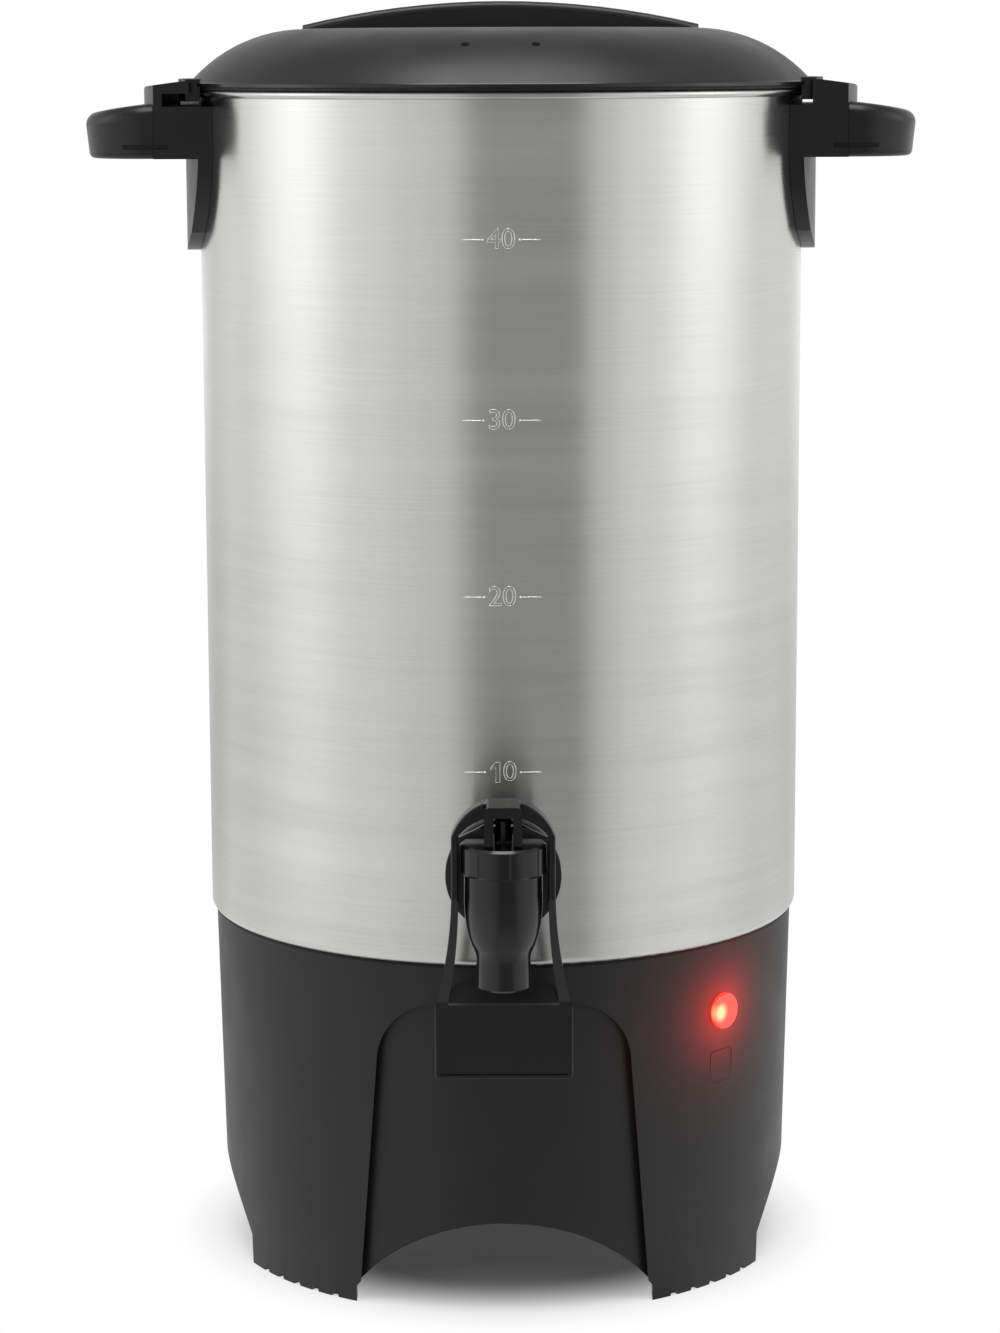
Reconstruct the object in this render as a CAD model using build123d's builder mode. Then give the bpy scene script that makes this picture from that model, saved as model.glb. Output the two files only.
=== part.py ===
from build123d import *
from math import asin, cos, radians, sin, sqrt
import os

# Forty-cup percolator coffee urn. Millimetres, +Z up, the tap towards -Y.
# The origin is on the counter, on the tank's axis, between the four feet.

# ---------------------------------------------------------------- tank
TANK_R = 95.0  # outside of the stainless wall
TANK_WALL = 0.6
RIM_Z = 372.0  # top of the rolled bead
SEAM_Z = 111.0  # underside of the tank, where the base begins
BEAD_R = 1.2  # half the thickness of the rolled bead
BEAD_OUT = 1.4  # how far the bead stands out from the wall
CURL_R = 2.4  # inward curl at the tank's lower edge
TANK_LIP = 4.5  # width of the lower lip, curl included
FLOOR_UP = 7.0  # upper face of the tank floor above the seam
FLOOR_SKIRT = 4.5  # height of the floor's rolled-down rim
FLOOR_FIT = 0.05
WELL_ROOM = 3.5  # heating well round the pump's foot
WELL_DEPTH = 8.0

# ---------------------------------------------------------------- lid
LIP_OUT = 2.8  # lip beyond the tank wall
LIP_LOW = 1.0  # underside of the lip above the rim
LIP_HIGH = 2.0  # where the dome starts above the rim
LID_RISE = 18.5  # crest of the dome above the rim
DOME_R = 48.0  # radius of the dome's profile
LID_WALL = 2.4
RECESS_EDGE = 2.5  # crest of the dome to the recess
RECESS_TAPER = 2.0
RECESS_Z = 5.0  # recess floor above the rim
FIN_RISE = 26.9  # top of the lid's handle above the rim
FIN_ARC = 268.0
FIN_HALF = 10.0  # half the handle's thickness
FIN_WALL = 2.4
FIN_ROUND = 2.0
FIN_PAST = 0.2  # handle's ends beyond the crest of the dome
VENT_R = 1.3
VENT_X = 10.3
VENT_INSET = 12.0  # vents inward of the tank wall
LUG_HALF = 29.0
LUG_OUT = 6.3  # lug beyond the tank wall
LUG_LOW = 3.5  # lug below the rim
LUG_HIGH = 3.3
TAB_HALF = 5.0
TAB_OUT = 12.5  # locking tab beyond the tank wall
TAB_HIGH = 1.4  # top of the tab below the rim
LOCK_GAP = 0.4  # clearance round the lug and its tab
SLOT_PAST = 2.0  # slot beyond the tab
LUG_GAP = 0.55  # lug clear of the bead
SEAL_THICK = 0.9
SEAL_GAP = 0.05
SEAL_LIP = 1.2
SEAL_DROP = 4.0
SEAL_UP = 1.8
SEAL_IN = 1.9  # upstand clear of the lip

# ---------------------------------------------------------------- side handles
HANDLE_FIT = 0.05
HANDLE_INTO = 10.0  # blanks reach this far inside the wall, until the seat is cut
HANDLE_HALF = 35.0  # half the width round the tank
GRIP_OUT = 35.0  # end of the grip beyond the wall
GRIP_CORNER = 20.0
GRIP_TOP = 4.3  # below the rim, at the tank
GRIP_END_TOP = 8.0  # below the rim, at the grip's end
GRIP_LOW = 20.9  # underside below the rim
GRIP_MID_DROP = 1.1  # fall of the crown two thirds of the way out
GRIP_ROUND = 4.0
GRIP_LOW_ROUND = 1.8
GRIP_DRAFT = 6.0  # degrees
GRIP_WALL = 5.6
GRIP_ROOF = 8.6  # roof of the finger hollow below the rim
HOLLOW_IN = 8.0  # hollow's inner edge beyond the wall
GROOVE_IN = 7.0  # groove's inner end beyond the wall
GROOVE_LOW = 18.0
GROOVE_HIGH = 16.6
GROOVE_DEEP = 2.6
BLOCK_WALL = 2.5  # hook block outside the tab's slot
BLOCK_TOP = 2.7  # above the rim, at the lid
BLOCK_END_TOP = 0.8
BLOCK_ROUND = 3.0
NOTCH_LOW = 5.0  # floor of the lug's notch below the rim
HOOK_LOW = 1.0  # underside of the hook plate below the rim
LEG_THICK = 4.3
LEG_LOW = 50.3  # tip of the leg below the rim
LEG_SIDE = (31.2, 33.7)  # half width, and depth below the rim
LEG_SHOULDER = (24.5, 43.8)
SCREW_Z = (14.0, 40.0)  # handle screws below the rim
SCREW_R = 1.9
SCREW_BITE = 3.3
SCREW_HEAD_R = 4.0
SCREW_HEAD = 2.2
SCREW_HEAD_ROUND = 1.2
SCREW_FIT = 0.4
WASHER_R = 5.0
WASHER = 0.8
WASHER_SEAT = 0.15  # flat washer on the curved wall

# ---------------------------------------------------------------- base
SKIRT_TOP_IN = 1.5  # skirt's top edge inside the tank wall
SKIRT_BOT_IN = 4.0
SKIRT_WALL = 2.6
SKIRT_ROUND = 0.8
SEAT_GAP = 0.05  # between a flat seat and what it bears on
LEDGE_IN = 11.0  # inner edge of the top ledge inside the tank wall
REGISTER = 3.0  # height of the ring that centres the tank
REGISTER_GAP = 0.3
REGISTER_WALL = 2.4
FRONT_ARCH = (46.0, 5.0, 28.5)  # half width, straight side, crown
SIDE_ARCH = (42.0, 9.5, 30.0)
NICHE_DEEP = 2.6
NICHE_SINK = 0.5  # niche's wall stays this far inside the skirt's face
NICHE_LOW_HALF = 45.2  # at the counter
NICHE_TOP_HALF = 37.4
NICHE_TOP_DOWN = 12.0  # below the seam
NICHE_ROUND = 20.5
NECK_HALF = 17.3  # narrower recess behind the spout
NECK_TOP_DOWN = 4.5
NECK_ROUND = 7.0
GROOVE_R = 1.4  # grip grooves under the feet
GROOVE_INTO = 1.8  # how far they go into the skirt
GROOVE_COUNT = 5
GROOVE_MID = 46.0  # degrees round from the front
GROOVE_STEP = 5.2
COVER_Z = 32.5
COVER_THICK = 2.2
COVER_GAP = 0.4
BOSS_WALL = 2.9
BOSS_IN = 9.0  # boss centres inside the tank wall
BOSS_HIGH = 27.3
BOSS_ANGLES = (46.0, 134.0, 226.0, 314.0)
COVER_SCREW_R = 1.6
COVER_SCREW_LEN = 12.0
COVER_HEAD_RIM = 1.2  # head beyond the shank
COVER_HEAD = 2.0
COVER_HEAD_ROUND = 0.9
RECESS_LONG = 3.4  # cross recess in a screw's head
RECESS_WIDE = 0.7
RECESS_DEEP = 1.1
PAD_HALF = 9.0  # pads that the cross strap bears on
PAD_IN = 25.0
PAD_OUT = 3.2
STRAP_DOWN = 27.0  # below the seam
STRAP_THICK = 1.5
STRAP_HALF = 10.0
STRAP_OVERHANG = 9.0
STRAP_ROUND = 3.0
CUT_PAST = 3.0  # how far a cut runs past the face that it opens

# ---------------------------------------------------------------- indicator lamp
LAMP_ANGLE = 47.0
LAMP_DOWN = 22.0  # below the seam
LENS_RIM = 1.2  # flange beyond the barrel
LENS_FLANGE = 1.0
LENS_DOME = 0.8
LENS_WALL = 1.2
LENS_BARREL = 13.0
NEON_GAP = 0.3
NEON_R = 2.9
NEON_LEN = 12.0
NEON_ROUND = 2.3
LAMP_FIT = 0.2
RETAINER_RIM = 3.0  # ring beyond the barrel
RETAINER = 0.8
PANEL_SIDE = 10.6  # engraved square under the lamp
PANEL_DOWN = 39.7  # below the seam
PANEL_ROUND = 2.0
PANEL_LINE = 0.45
PANEL_DEEP = 0.25

# ---------------------------------------------------------------- cord gland
GLAND_Z = 45.0
GLAND_BORE_R = 3.7
GLAND_WALL = 2.2
GLAND_RIM = 2.6  # flange beyond the barrel
GLAND_ROUND = 0.8
GLAND_FLANGE = 2.5
GLAND_IN = 9.0
GLAND_NUT = 4.0

# ---------------------------------------------------------------- tap
TAP_REACH = 30.0  # tap axis in front of the wall
TAP_UP = 29.0  # centre of the shank above the seam
SPOUT_BELOW = 27.0  # end of the spout below the shank's centre
SPOUT_R = 8.0
SPOUT_WALL = 1.4
SPOUT_CHAMFER = 0.6
SPOUT_LONG = 8.5  # straight part of the spout
VASE_LONG = 18.0  # height over which the body swells
VASE_WALL = 2.9  # round the chamber
VASE_ABOVE = 7.3  # shoulder above the shank's centre
NECK_LONG = 5.7
NECK_WALL = 1.8
CHAMBER_R = 8.6
SEAT_BELOW = 11.0  # valve seat below the shank's centre
SEAT_HOLE_R = 4.5
SEAT_THICK = 4.5
SHANK_R = 8.2
SHANK_OUT_R = 7.2
SHANK_BORE_R = 5.0
SHANK_IN = 15.0  # end of the thread inside the wall
TAP_HOLE_FIT = 0.4
TAP_FLANGE_R = 15.5
TAP_FLANGE = 3.0
GASKET_R = 17.4
GASKET = 3.0
INNER_GASKET_R = 13.5
INNER_GASKET = 2.2
TAP_NUT_R = 13.0
TAP_NUT = 5.0
THREAD_FIT = 0.1
COLLAR_WALL = 2.1
COLLAR_WEB = 3.1
COLLAR_SEAT = 0.2  # web above the neck
COLLAR_EDGE = 0.7
COLLAR_RIB_R = 0.35
COLLAR_RIB_OUT = 0.25
COLLAR_RIBS = 8
COLLAR_TURN = 9.0  # degrees, first rib
STEM_R = 2.6
STEM_FIT = 0.1
STEM_PAST = 2.8  # top of the stem above the pin
STEM_ROUND = 2.0
STEM_FOOT = 1.4  # button at the stem's lower end, beyond the stem
STEM_FOOT_HIGH = 1.2
STEM_FLANGE_R = 6.5
STEM_FLANGE = 1.2
CUP_GAP = 1.0  # seat cup clear of the chamber
CUP_HIGH = 4.25
CUP_EDGE = 1.4
CUP_TAPER = 2.0
CUP_WALL = 0.9
SPRING_GAP = 1.6  # coil clear of the stem
SPRING_WIRE = 0.5
SPRING_TURNS = 7
SPRING_FIT = 0.05
PIN_UP = 4.7  # pin above the hub's underside
PIN_R = 1.25
PIN_FIT = 0.05
PIN_SHORT = 0.1
HUB_WALL = 2.65
HUB_FIT = 0.3  # fork round the stem
HUB_GAP = 0.5  # hub above the collar
HUB_SLOT_PAST = 3.7  # top of the fork above the pin
HUB_TOP_PAST = 6.8
HUB_FRONT = 8.3
HUB_BACK = 5.5
HUB_ROUND = 1.6
WEB_LOW = 0.5  # webs above the hub's underside
WEB_INTO = 0.5
WEB_BACK = 0.4
ARM_GAP = 0.35  # arms clear of the collar's ribs
ARM_THICK = 2.0
ARM_ROUND = 0.5  # front edges of the strap and the plate
ARM_FRONT = 3.5  # arm's depth before and behind the tap axis
ARM_BACK = 2.5
ARCH_PAST = 8.1  # arch above the pin: crown, underside and springing
ARCH_UNDER_PAST = 3.5
ARCH_SPRING_BELOW = 2.9
FLARE_OUT_UP = 3.0  # where the arms start to flare, above the shank's centre
PLATE_HALF = 20.5
PLATE_BELOW = 7.7  # push plate's top below the spout
PLATE_HIGH = 22.7
PLATE_BACK = 7.8  # front face of the push plate behind the tap axis
PLATE_THICK = 2.6
PLATE_LAP = 1.0  # corners of the plate below its middle
PLATE_BORDER = 1.2
PLATE_ROUND = 1.2
PLATE_PANEL = 0.8  # how far the panel is sunk
WINDOW_HALF = 16.6

# ---------------------------------------------------------------- percolator
FOOT_RIM = 9.8  # foot beyond the valve
FOOT_EDGE = 1.2
FOOT_NECK = 2.5  # crown of the foot beyond the tube
FOOT_CROWN = 8.5
FOOT_COLLAR = 2.0
FOOT_GAP = 0.05
FOOT_SLOT = 6.0
FOOT_SLOT_ROOF = 0.5
TUBE_R = 5.0
TUBE_WALL = 0.8
TUBE_TOP_BELOW = 20.0  # top of the pump tube below the rim
VALVE_R = 12.2
VALVE_THICK = 0.8
VALVE_GAP = 0.4
VALVE_LAP = 2.2  # valve beyond its bore
VALVE_SHELF = 1.4
VALVE_ROOM = 3.2
VALVE_ROOF = 3.0
SEATING = 3.0  # collar that carries the basket: its height and its width
BASKET_BELOW = 110.0  # basket's underside below the rim
BASKET_HIGH = 70.0
BASKET_R = 58.0
BASKET_FLARE = 4.0
BASKET_WALL = 0.8
BASKET_RIM = 1.6
BASKET_TUBE_GAP = 0.5  # basket's middle tube clear of the pump tube
BASKET_TUBE_SHORT = 2.0
HOLE_R = 1.5
FLOOR_HOLES = ((18.0, 12), (27.0, 18), (36.0, 24), (45.0, 30))
SPREADER_THICK = 0.8
SPREADER_SKIRT = 5.0
SPREADER_GAP = 0.4
SPREADER_DRAFT = 0.3
SPREADER_HUB_FLARE = 2.5
SPREADER_HUB = 4.0
SPREADER_HOLES = ((20.0, 16), (30.0, 24), (40.0, 32))

# ---------------------------------------------------------------- heating
HEAT_PLATE_IN = 1.5  # heat spreader inside the well
HEAT_PLATE = 3.0
HEAT_FIT = 0.05
BOIL_RING_IN = 6.0  # ring's centre line inside the heat spreader's edge
BOIL_TUBE_R = 3.5
BOIL_GAP = 22.0  # degrees each side of the back
WARM_RING_R = 44.0
WARM_TUBE_R = 3.0
WARM_GAP = 10.0
HEATER_PIN_R = 1.2
HEATER_PIN = 9.0
PIN_STEP = 6.0  # degrees from a heater's end to its pin
CLAMP_HALF_X = 23.0
CLAMP_HALF_Y = 7.0
CLAMP_THICK = 1.5
CLAMP_ROUND = 2.0
STUD_R = 3.0
STUD_PAST = 1.0  # stud below its lower nut
STUD_CHAMFER = 0.6
STUD_FIT = 0.2
NUT_R = 5.6
NUT_HIGH = 5.0
THERMOSTAT_R = 8.0
THERMOSTAT_HIGH = 10.0
THERMOSTAT_XY = (-60.0, 28.0)
BRACKET_GAP = 0.3
BRACKET_FOOT = 5.0
BRACKET_WIDE = 10.0
BRACKET_SHEET = 1.0
BLADE = (6.3, 8.0, 0.8)  # width, length, thickness
BLADE_UP = 2.0
BLADE_INTO = 1.0
FUSE_R = 2.0
FUSE_LEN = 14.0
FUSE_CHAMFER = 0.5
FUSE_XY = (60.0, 30.0)
CLIP_WIDE = 5.0
CLIP_FIT = 0.1
BLOCK_Y = 58.0
BLOCK_SIZE = (44.0, 16.0, 12.0)
BLOCK_EDGE = 1.5
PORTS = 6
PORT_PITCH = 7.0
PORT_HIGH = 4.5
PORT_SCREW_R = 2.2
PORT_SCREW_DEEP = 4.0
PORT_GAP = 0.2
PORT_INTO = 3.0  # how far a lead goes into its port
WIRE_R = 1.0
WIRE_BEND = 3.0
LEAD_RUN_DOWN = 36.0  # where the leads cross the base, below the seam
LEAD_LIFT_DOWN = 19.0
LAMP_LEAD = 12.0  # straight stretch behind the lamp

# ---------------------------------------------------------------- worked out from those
tank_in_r = TANK_R - TANK_WALL
floor_z = SEAM_Z + FLOOR_UP
well_z = floor_z - WELL_DEPTH
floor_under = floor_z - TANK_WALL
well_under = well_z - TANK_WALL

lip_r = TANK_R + LIP_OUT
slot_r = TANK_R + TAB_OUT + SLOT_PAST
block_r = slot_r + BLOCK_WALL
dome_climb = LID_RISE - LIP_HIGH
crest_r = lip_r - sqrt(dome_climb * (2 * DOME_R - dome_climb))
dome_z = RIM_Z + LID_RISE - DOME_R
recess_r = crest_r - RECESS_EDGE
bead_in_r = TANK_R + BEAD_OUT - 2 * BEAD_R

skirt_top_r = TANK_R - SKIRT_TOP_IN
skirt_bot_r = TANK_R - SKIRT_BOT_IN
ledge_under = SEAM_Z - SKIRT_WALL
cover_top = COVER_Z + COVER_THICK
niche_top = SEAM_Z - NICHE_TOP_DOWN
neck_recess_top = SEAM_Z - NECK_TOP_DOWN
strap_z = SEAM_Z - STRAP_DOWN
lamp_z = SEAM_Z - LAMP_DOWN
panel_z = SEAM_Z - PANEL_DOWN
lens_bore_r = NEON_R + NEON_GAP
barrel_r = lens_bore_r + LENS_WALL
lens_r = barrel_r + LENS_RIM
retainer_r = barrel_r + RETAINER_RIM
gland_r = GLAND_BORE_R + GLAND_WALL
gland_flange_r = gland_r + GLAND_RIM

tap_y = -(TANK_R + TAP_REACH)
tap_z = SEAM_Z + TAP_UP
spout_z = tap_z - SPOUT_BELOW
seat_z = tap_z - SEAT_BELOW
seat_under = seat_z - SEAT_THICK
vase_top = tap_z + VASE_ABOVE
neck_top = vase_top + NECK_LONG
web_under = neck_top + COLLAR_SEAT
collar_top = web_under + COLLAR_WEB
vase_r = CHAMBER_R + VASE_WALL
neck_r = CHAMBER_R + NECK_WALL
collar_r = neck_r + THREAD_FIT + COLLAR_WALL
cup_r = CHAMBER_R - CUP_GAP
cup_z = seat_z + SEAL_GAP
cup_top = cup_z + CUP_HIGH
stem_foot_r = STEM_R + STEM_FOOT
stem_flange_z = cup_top + STEM_FIT
stem_spring_z = stem_flange_z + STEM_FLANGE
spring_r = STEM_R + SPRING_GAP + SPRING_WIRE
hub_low = collar_top + HUB_GAP
pin_z = hub_low + PIN_UP
stem_top = pin_z + STEM_PAST
hub_slot = STEM_R + HUB_FIT
hub_half = hub_slot + HUB_WALL
hub_slot_top = pin_z + HUB_SLOT_PAST
hub_top = pin_z + HUB_TOP_PAST
arm_in = collar_r + COLLAR_RIB_OUT + ARM_GAP
arch_top = pin_z + ARCH_PAST
arch_under = pin_z + ARCH_UNDER_PAST
arch_spring = pin_z - ARCH_SPRING_BELOW
flare_out_z = tap_z + FLARE_OUT_UP
plate_top = spout_z - PLATE_BELOW
plate_low = plate_top - PLATE_HIGH

basket_z = RIM_Z - BASKET_BELOW
basket_rim_z = basket_z + BASKET_HIGH
basket_top_r = BASKET_R + BASKET_FLARE
basket_bore_r = TUBE_R + BASKET_TUBE_GAP
tube_top = RIM_Z - TUBE_TOP_BELOW
tube_bore_r = TUBE_R - TUBE_WALL
seating_r = TUBE_R + SEATING
valve_bore_r = VALVE_R - VALVE_LAP
valve_room_r = VALVE_R + VALVE_GAP
foot_r = VALVE_R + FOOT_RIM
well_r = foot_r + WELL_ROOM
foot_z = well_z + FOOT_GAP
valve_z = foot_z + VALVE_SHELF

heat_plate_r = well_r - HEAT_PLATE_IN
boil_ring_r = heat_plate_r - BOIL_RING_IN
heat_z = well_under - HEAT_FIT - HEAT_PLATE
boil_z = heat_z - HEAT_FIT - BOIL_TUBE_R
warm_z = floor_under - HEAT_FIT - WARM_TUBE_R
clamp_z = boil_z - BOIL_TUBE_R - HEAT_FIT - CLAMP_THICK
stud_low = strap_z - NUT_HIGH - STUD_PAST


def skirt_r(z):
    """Outside radius of the drafted base at a height."""
    return skirt_bot_r + (skirt_top_r - skirt_bot_r) * z / SEAM_Z


def around(angle, z=0.0):
    """Plane whose normal points out of the axis, an angle round from the front."""
    a = radians(angle)
    return Plane(origin=(0, 0, z), x_dir=(cos(a), sin(a), 0), z_dir=(sin(a), -cos(a), 0))


def spot(angle, radius):
    """Point on the plan at a radius, an angle round from the front."""
    return (radius * sin(radians(angle)), -radius * cos(radians(angle)))


shank_plane = around(0, tap_z)
tap_section = Plane(origin=(0, tap_y, 0), x_dir=(1, 0, 0), z_dir=(0, -1, 0))
tap_axis = Axis((0, tap_y, 0), (0, 0, 1))
lamp_plane = around(LAMP_ANGLE, lamp_z)
gland_plane = around(180, GLAND_Z)

# ================================================================ tank
# Rolled stainless wall: a bead at the rim, and a lower edge curled in to a lip.
with BuildPart() as tank_shell:
    with BuildSketch(Plane.XZ):
        with BuildLine():
            bead_mid = RIM_Z - BEAD_R
            lip_in = TANK_R - TANK_LIP
            Line((TANK_R, bead_mid), (TANK_R, SEAM_Z + CURL_R))
            TangentArc((TANK_R, SEAM_Z + CURL_R), (TANK_R - CURL_R, SEAM_Z), tangent=(0, -1))
            Polyline(
                (TANK_R - CURL_R, SEAM_Z),
                (lip_in, SEAM_Z),
                (lip_in, SEAM_Z + TANK_WALL),
                (TANK_R - CURL_R, SEAM_Z + TANK_WALL),
            )
            TangentArc(
                (TANK_R - CURL_R, SEAM_Z + TANK_WALL), (tank_in_r, SEAM_Z + CURL_R), tangent=(1, 0)
            )
            Polyline((tank_in_r, SEAM_Z + CURL_R), (tank_in_r, bead_mid), (TANK_R, bead_mid))
        make_face()
        with Locations((TANK_R + BEAD_OUT - BEAD_R, bead_mid)):
            Circle(BEAD_R)
    revolve(axis=Axis.Z)
    with BuildSketch(shank_plane):
        Circle(SHANK_R + TAP_HOLE_FIT)
    extrude(amount=TANK_R + 1, mode=Mode.SUBTRACT)
    for below in SCREW_Z:
        with BuildSketch(around(90, RIM_Z - below)):
            Circle(SCREW_R + SCREW_FIT)
        extrude(amount=TANK_R + 1, both=True, mode=Mode.SUBTRACT)

# Pressed floor: its rim turns down inside the wall, and the pump stands in the well.
with BuildPart() as tank_floor:
    with BuildSketch(Plane.XZ):
        with BuildLine():
            rim_r = tank_in_r - FLOOR_FIT
            Polyline(
                (0, well_under),
                (well_r + TANK_WALL, well_under),
                (well_r + TANK_WALL, floor_under),
                (rim_r - TANK_WALL, floor_under),
                (rim_r - TANK_WALL, floor_z - FLOOR_SKIRT),
                (rim_r, floor_z - FLOOR_SKIRT),
                (rim_r, floor_z),
                (well_r, floor_z),
                (well_r, well_z),
                (0, well_z),
                close=True,
            )
        make_face()
    revolve(axis=Axis.Z)

# ================================================================ lid
# Handle that stands across the lid, arched along its length.
with BuildPart() as fin:
    with BuildSketch(Plane.XZ):
        with BuildLine():
            fin_half = crest_r + FIN_PAST
            fin_end = RIM_Z + FIN_RISE - FIN_ARC + sqrt(FIN_ARC**2 - fin_half**2)
            fin_foot = RIM_Z + RECESS_Z - 1
            ThreePointArc((-fin_half, fin_end), (0, RIM_Z + FIN_RISE), (fin_half, fin_end))
            Polyline(
                (fin_half, fin_end), (fin_half, fin_foot), (-fin_half, fin_foot), (-fin_half, fin_end)
            )
        make_face()
    extrude(amount=FIN_HALF, both=True)
    fin_top = fin.faces().sort_by(Axis.Z)[-1]
    fillet(fin_top.edges().filter_by(GeomType.CIRCLE), FIN_ROUND)

# Domed cover with a dished middle, and two lugs that lock it under the handles.
with BuildPart() as lid:
    with BuildSketch(Plane.XZ):
        with BuildLine():
            Line((lip_r, RIM_Z + LIP_LOW), (lip_r, RIM_Z + LIP_HIGH))
            half_turn = asin((lip_r - crest_r) / DOME_R) / 2
            dome_mid = (crest_r + DOME_R * sin(half_turn), dome_z + DOME_R * cos(half_turn))
            ThreePointArc((lip_r, RIM_Z + LIP_HIGH), dome_mid, (crest_r, RIM_Z + LID_RISE))
            Polyline(
                (crest_r, RIM_Z + LID_RISE),
                (recess_r, RIM_Z + LID_RISE),
                (recess_r - RECESS_TAPER, RIM_Z + RECESS_Z),
                (0, RIM_Z + RECESS_Z),
                (0, RIM_Z + LIP_LOW),
                (lip_r, RIM_Z + LIP_LOW),
            )
        make_face()
    revolve(axis=Axis.Z)
    add(fin.part)
    # Hollow side of the dome and of the dished middle.
    with BuildSketch(Plane.XZ):
        with BuildLine():
            hollow_r = lip_r - LID_WALL
            hollow_arc = DOME_R - LID_WALL
            hollow_z = dome_z + sqrt(hollow_arc**2 - (hollow_r - crest_r) ** 2)
            wall_r = recess_r + LID_WALL
            pan_z = RIM_Z + RECESS_Z - LID_WALL
            mid_r = (hollow_r + wall_r) / 2
            mid_z = dome_z + sqrt(hollow_arc**2 - (mid_r - crest_r) ** 2)
            top_z = dome_z + sqrt(hollow_arc**2 - (wall_r - crest_r) ** 2)
            ThreePointArc((hollow_r, hollow_z), (mid_r, mid_z), (wall_r, top_z))
            Polyline(
                (wall_r, top_z),
                (wall_r - RECESS_TAPER, pan_z),
                (0, pan_z),
                (0, RIM_Z + LIP_LOW - 1),
                (hollow_r, RIM_Z + LIP_LOW - 1),
                (hollow_r, hollow_z),
            )
        make_face()
    revolve(axis=Axis.Z, mode=Mode.SUBTRACT)
    # Hollow of the handle, open below.
    with BuildSketch(Plane.XZ):
        with BuildLine():
            core_half = recess_r - RECESS_TAPER - FIN_WALL
            core_arc = FIN_ARC - FIN_WALL
            core_end = RIM_Z + FIN_RISE - FIN_ARC + sqrt(core_arc**2 - core_half**2)
            ThreePointArc(
                (-core_half, core_end), (0, RIM_Z + FIN_RISE - FIN_WALL), (core_half, core_end)
            )
            Polyline(
                (core_half, core_end),
                (core_half, pan_z - 1),
                (-core_half, pan_z - 1),
                (-core_half, core_end),
            )
        make_face()
    extrude(amount=FIN_HALF - FIN_WALL, both=True, mode=Mode.SUBTRACT)
    vent_y = -sqrt((TANK_R - VENT_INSET) ** 2 - VENT_X**2)
    with BuildSketch(Plane.XY.offset(RIM_Z + LIP_LOW)):
        with Locations((-VENT_X, vent_y), (VENT_X, vent_y)):
            Circle(VENT_R)
    extrude(amount=LID_RISE, mode=Mode.SUBTRACT)
    # Lugs, each with the tab that turns under a handle's hook plate.
    lug_in = TANK_R + BEAD_OUT + LUG_GAP
    for low, high, inner, outer, half in (
        (-LUG_LOW, LUG_HIGH, lug_in, TANK_R + LUG_OUT, LUG_HALF),
        (LIP_LOW, LUG_HIGH, lip_r - LID_WALL, TANK_R + LUG_OUT, LUG_HALF),
        (-LUG_LOW, -TAB_HIGH, TANK_R + LUG_OUT - 1, TANK_R + TAB_OUT, TAB_HALF),
    ):
        with BuildSketch(Plane.XY.offset(RIM_Z + low)):
            Circle(outer)
            Circle(inner, mode=Mode.SUBTRACT)
            Rectangle(4 * TANK_R, 2 * half, mode=Mode.INTERSECT)
        extrude(amount=high - low)

# Silicone ring under the lip. It hangs from the lid and centres it in the rim.
with BuildPart() as lid_seal:
    with BuildSketch(Plane.XZ):
        with BuildLine():
            low = RIM_Z + SEAL_GAP
            high = low + SEAL_THICK
            drop_r = bead_in_r - SPREADER_GAP
            up_r = lip_r - LID_WALL - SEAL_IN
            Polyline(
                (drop_r - SEAL_LIP, RIM_Z - SEAL_DROP),
                (drop_r, RIM_Z - SEAL_DROP),
                (drop_r, low),
                (TANK_R + BEAD_OUT, low),
                (TANK_R + BEAD_OUT, high),
                (up_r, high),
                (up_r, high + SEAL_UP),
                (up_r - SEAL_LIP, high + SEAL_UP),
                (drop_r - SEAL_LIP, high),
                close=True,
            )
        make_face()
    revolve(axis=Axis.Z)

# ================================================================ side handles
# Grip: a rounded ledge, drafted, with its crown falling away from the tank.
handle_in = -TANK_R + HANDLE_INTO
with BuildPart() as grip:
    with BuildSketch(Plane.XY.offset(RIM_Z - GRIP_TOP + 1)):
        with Locations((-(TANK_R + GRIP_OUT) + TANK_R / 2, 0)):
            RectangleRounded(TANK_R, 2 * HANDLE_HALF, GRIP_CORNER)
    extrude(amount=-(GRIP_LOW - GRIP_TOP + 1), taper=GRIP_DRAFT)
    with BuildSketch(Plane.XZ):
        with BuildLine():
            grip_end = -(TANK_R + GRIP_OUT + 1)
            grip_mid = -(TANK_R + GRIP_OUT * 2 / 3)
            ThreePointArc(
                (handle_in, RIM_Z - GRIP_TOP),
                (grip_mid, RIM_Z - GRIP_TOP - GRIP_MID_DROP),
                (grip_end, RIM_Z - GRIP_END_TOP),
            )
            Polyline(
                (grip_end, RIM_Z - GRIP_END_TOP),
                (grip_end, RIM_Z - GRIP_LOW),
                (handle_in, RIM_Z - GRIP_LOW),
                (handle_in, RIM_Z - GRIP_TOP),
            )
        make_face()
    extrude(amount=2 * HANDLE_HALF, both=True, mode=Mode.INTERSECT)
    crown = grip.faces().sort_by(Axis.Z)[-1]
    crown_rim = crown.edges().filter_by(lambda e: e.center().X < handle_in - 1)
    fillet(crown_rim, GRIP_ROUND)
    sole = grip.faces().sort_by(Axis.Z)[0]
    sole_rim = sole.edges().filter_by(lambda e: e.center().X < handle_in - 1)
    fillet(sole_rim, GRIP_LOW_ROUND)

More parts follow.
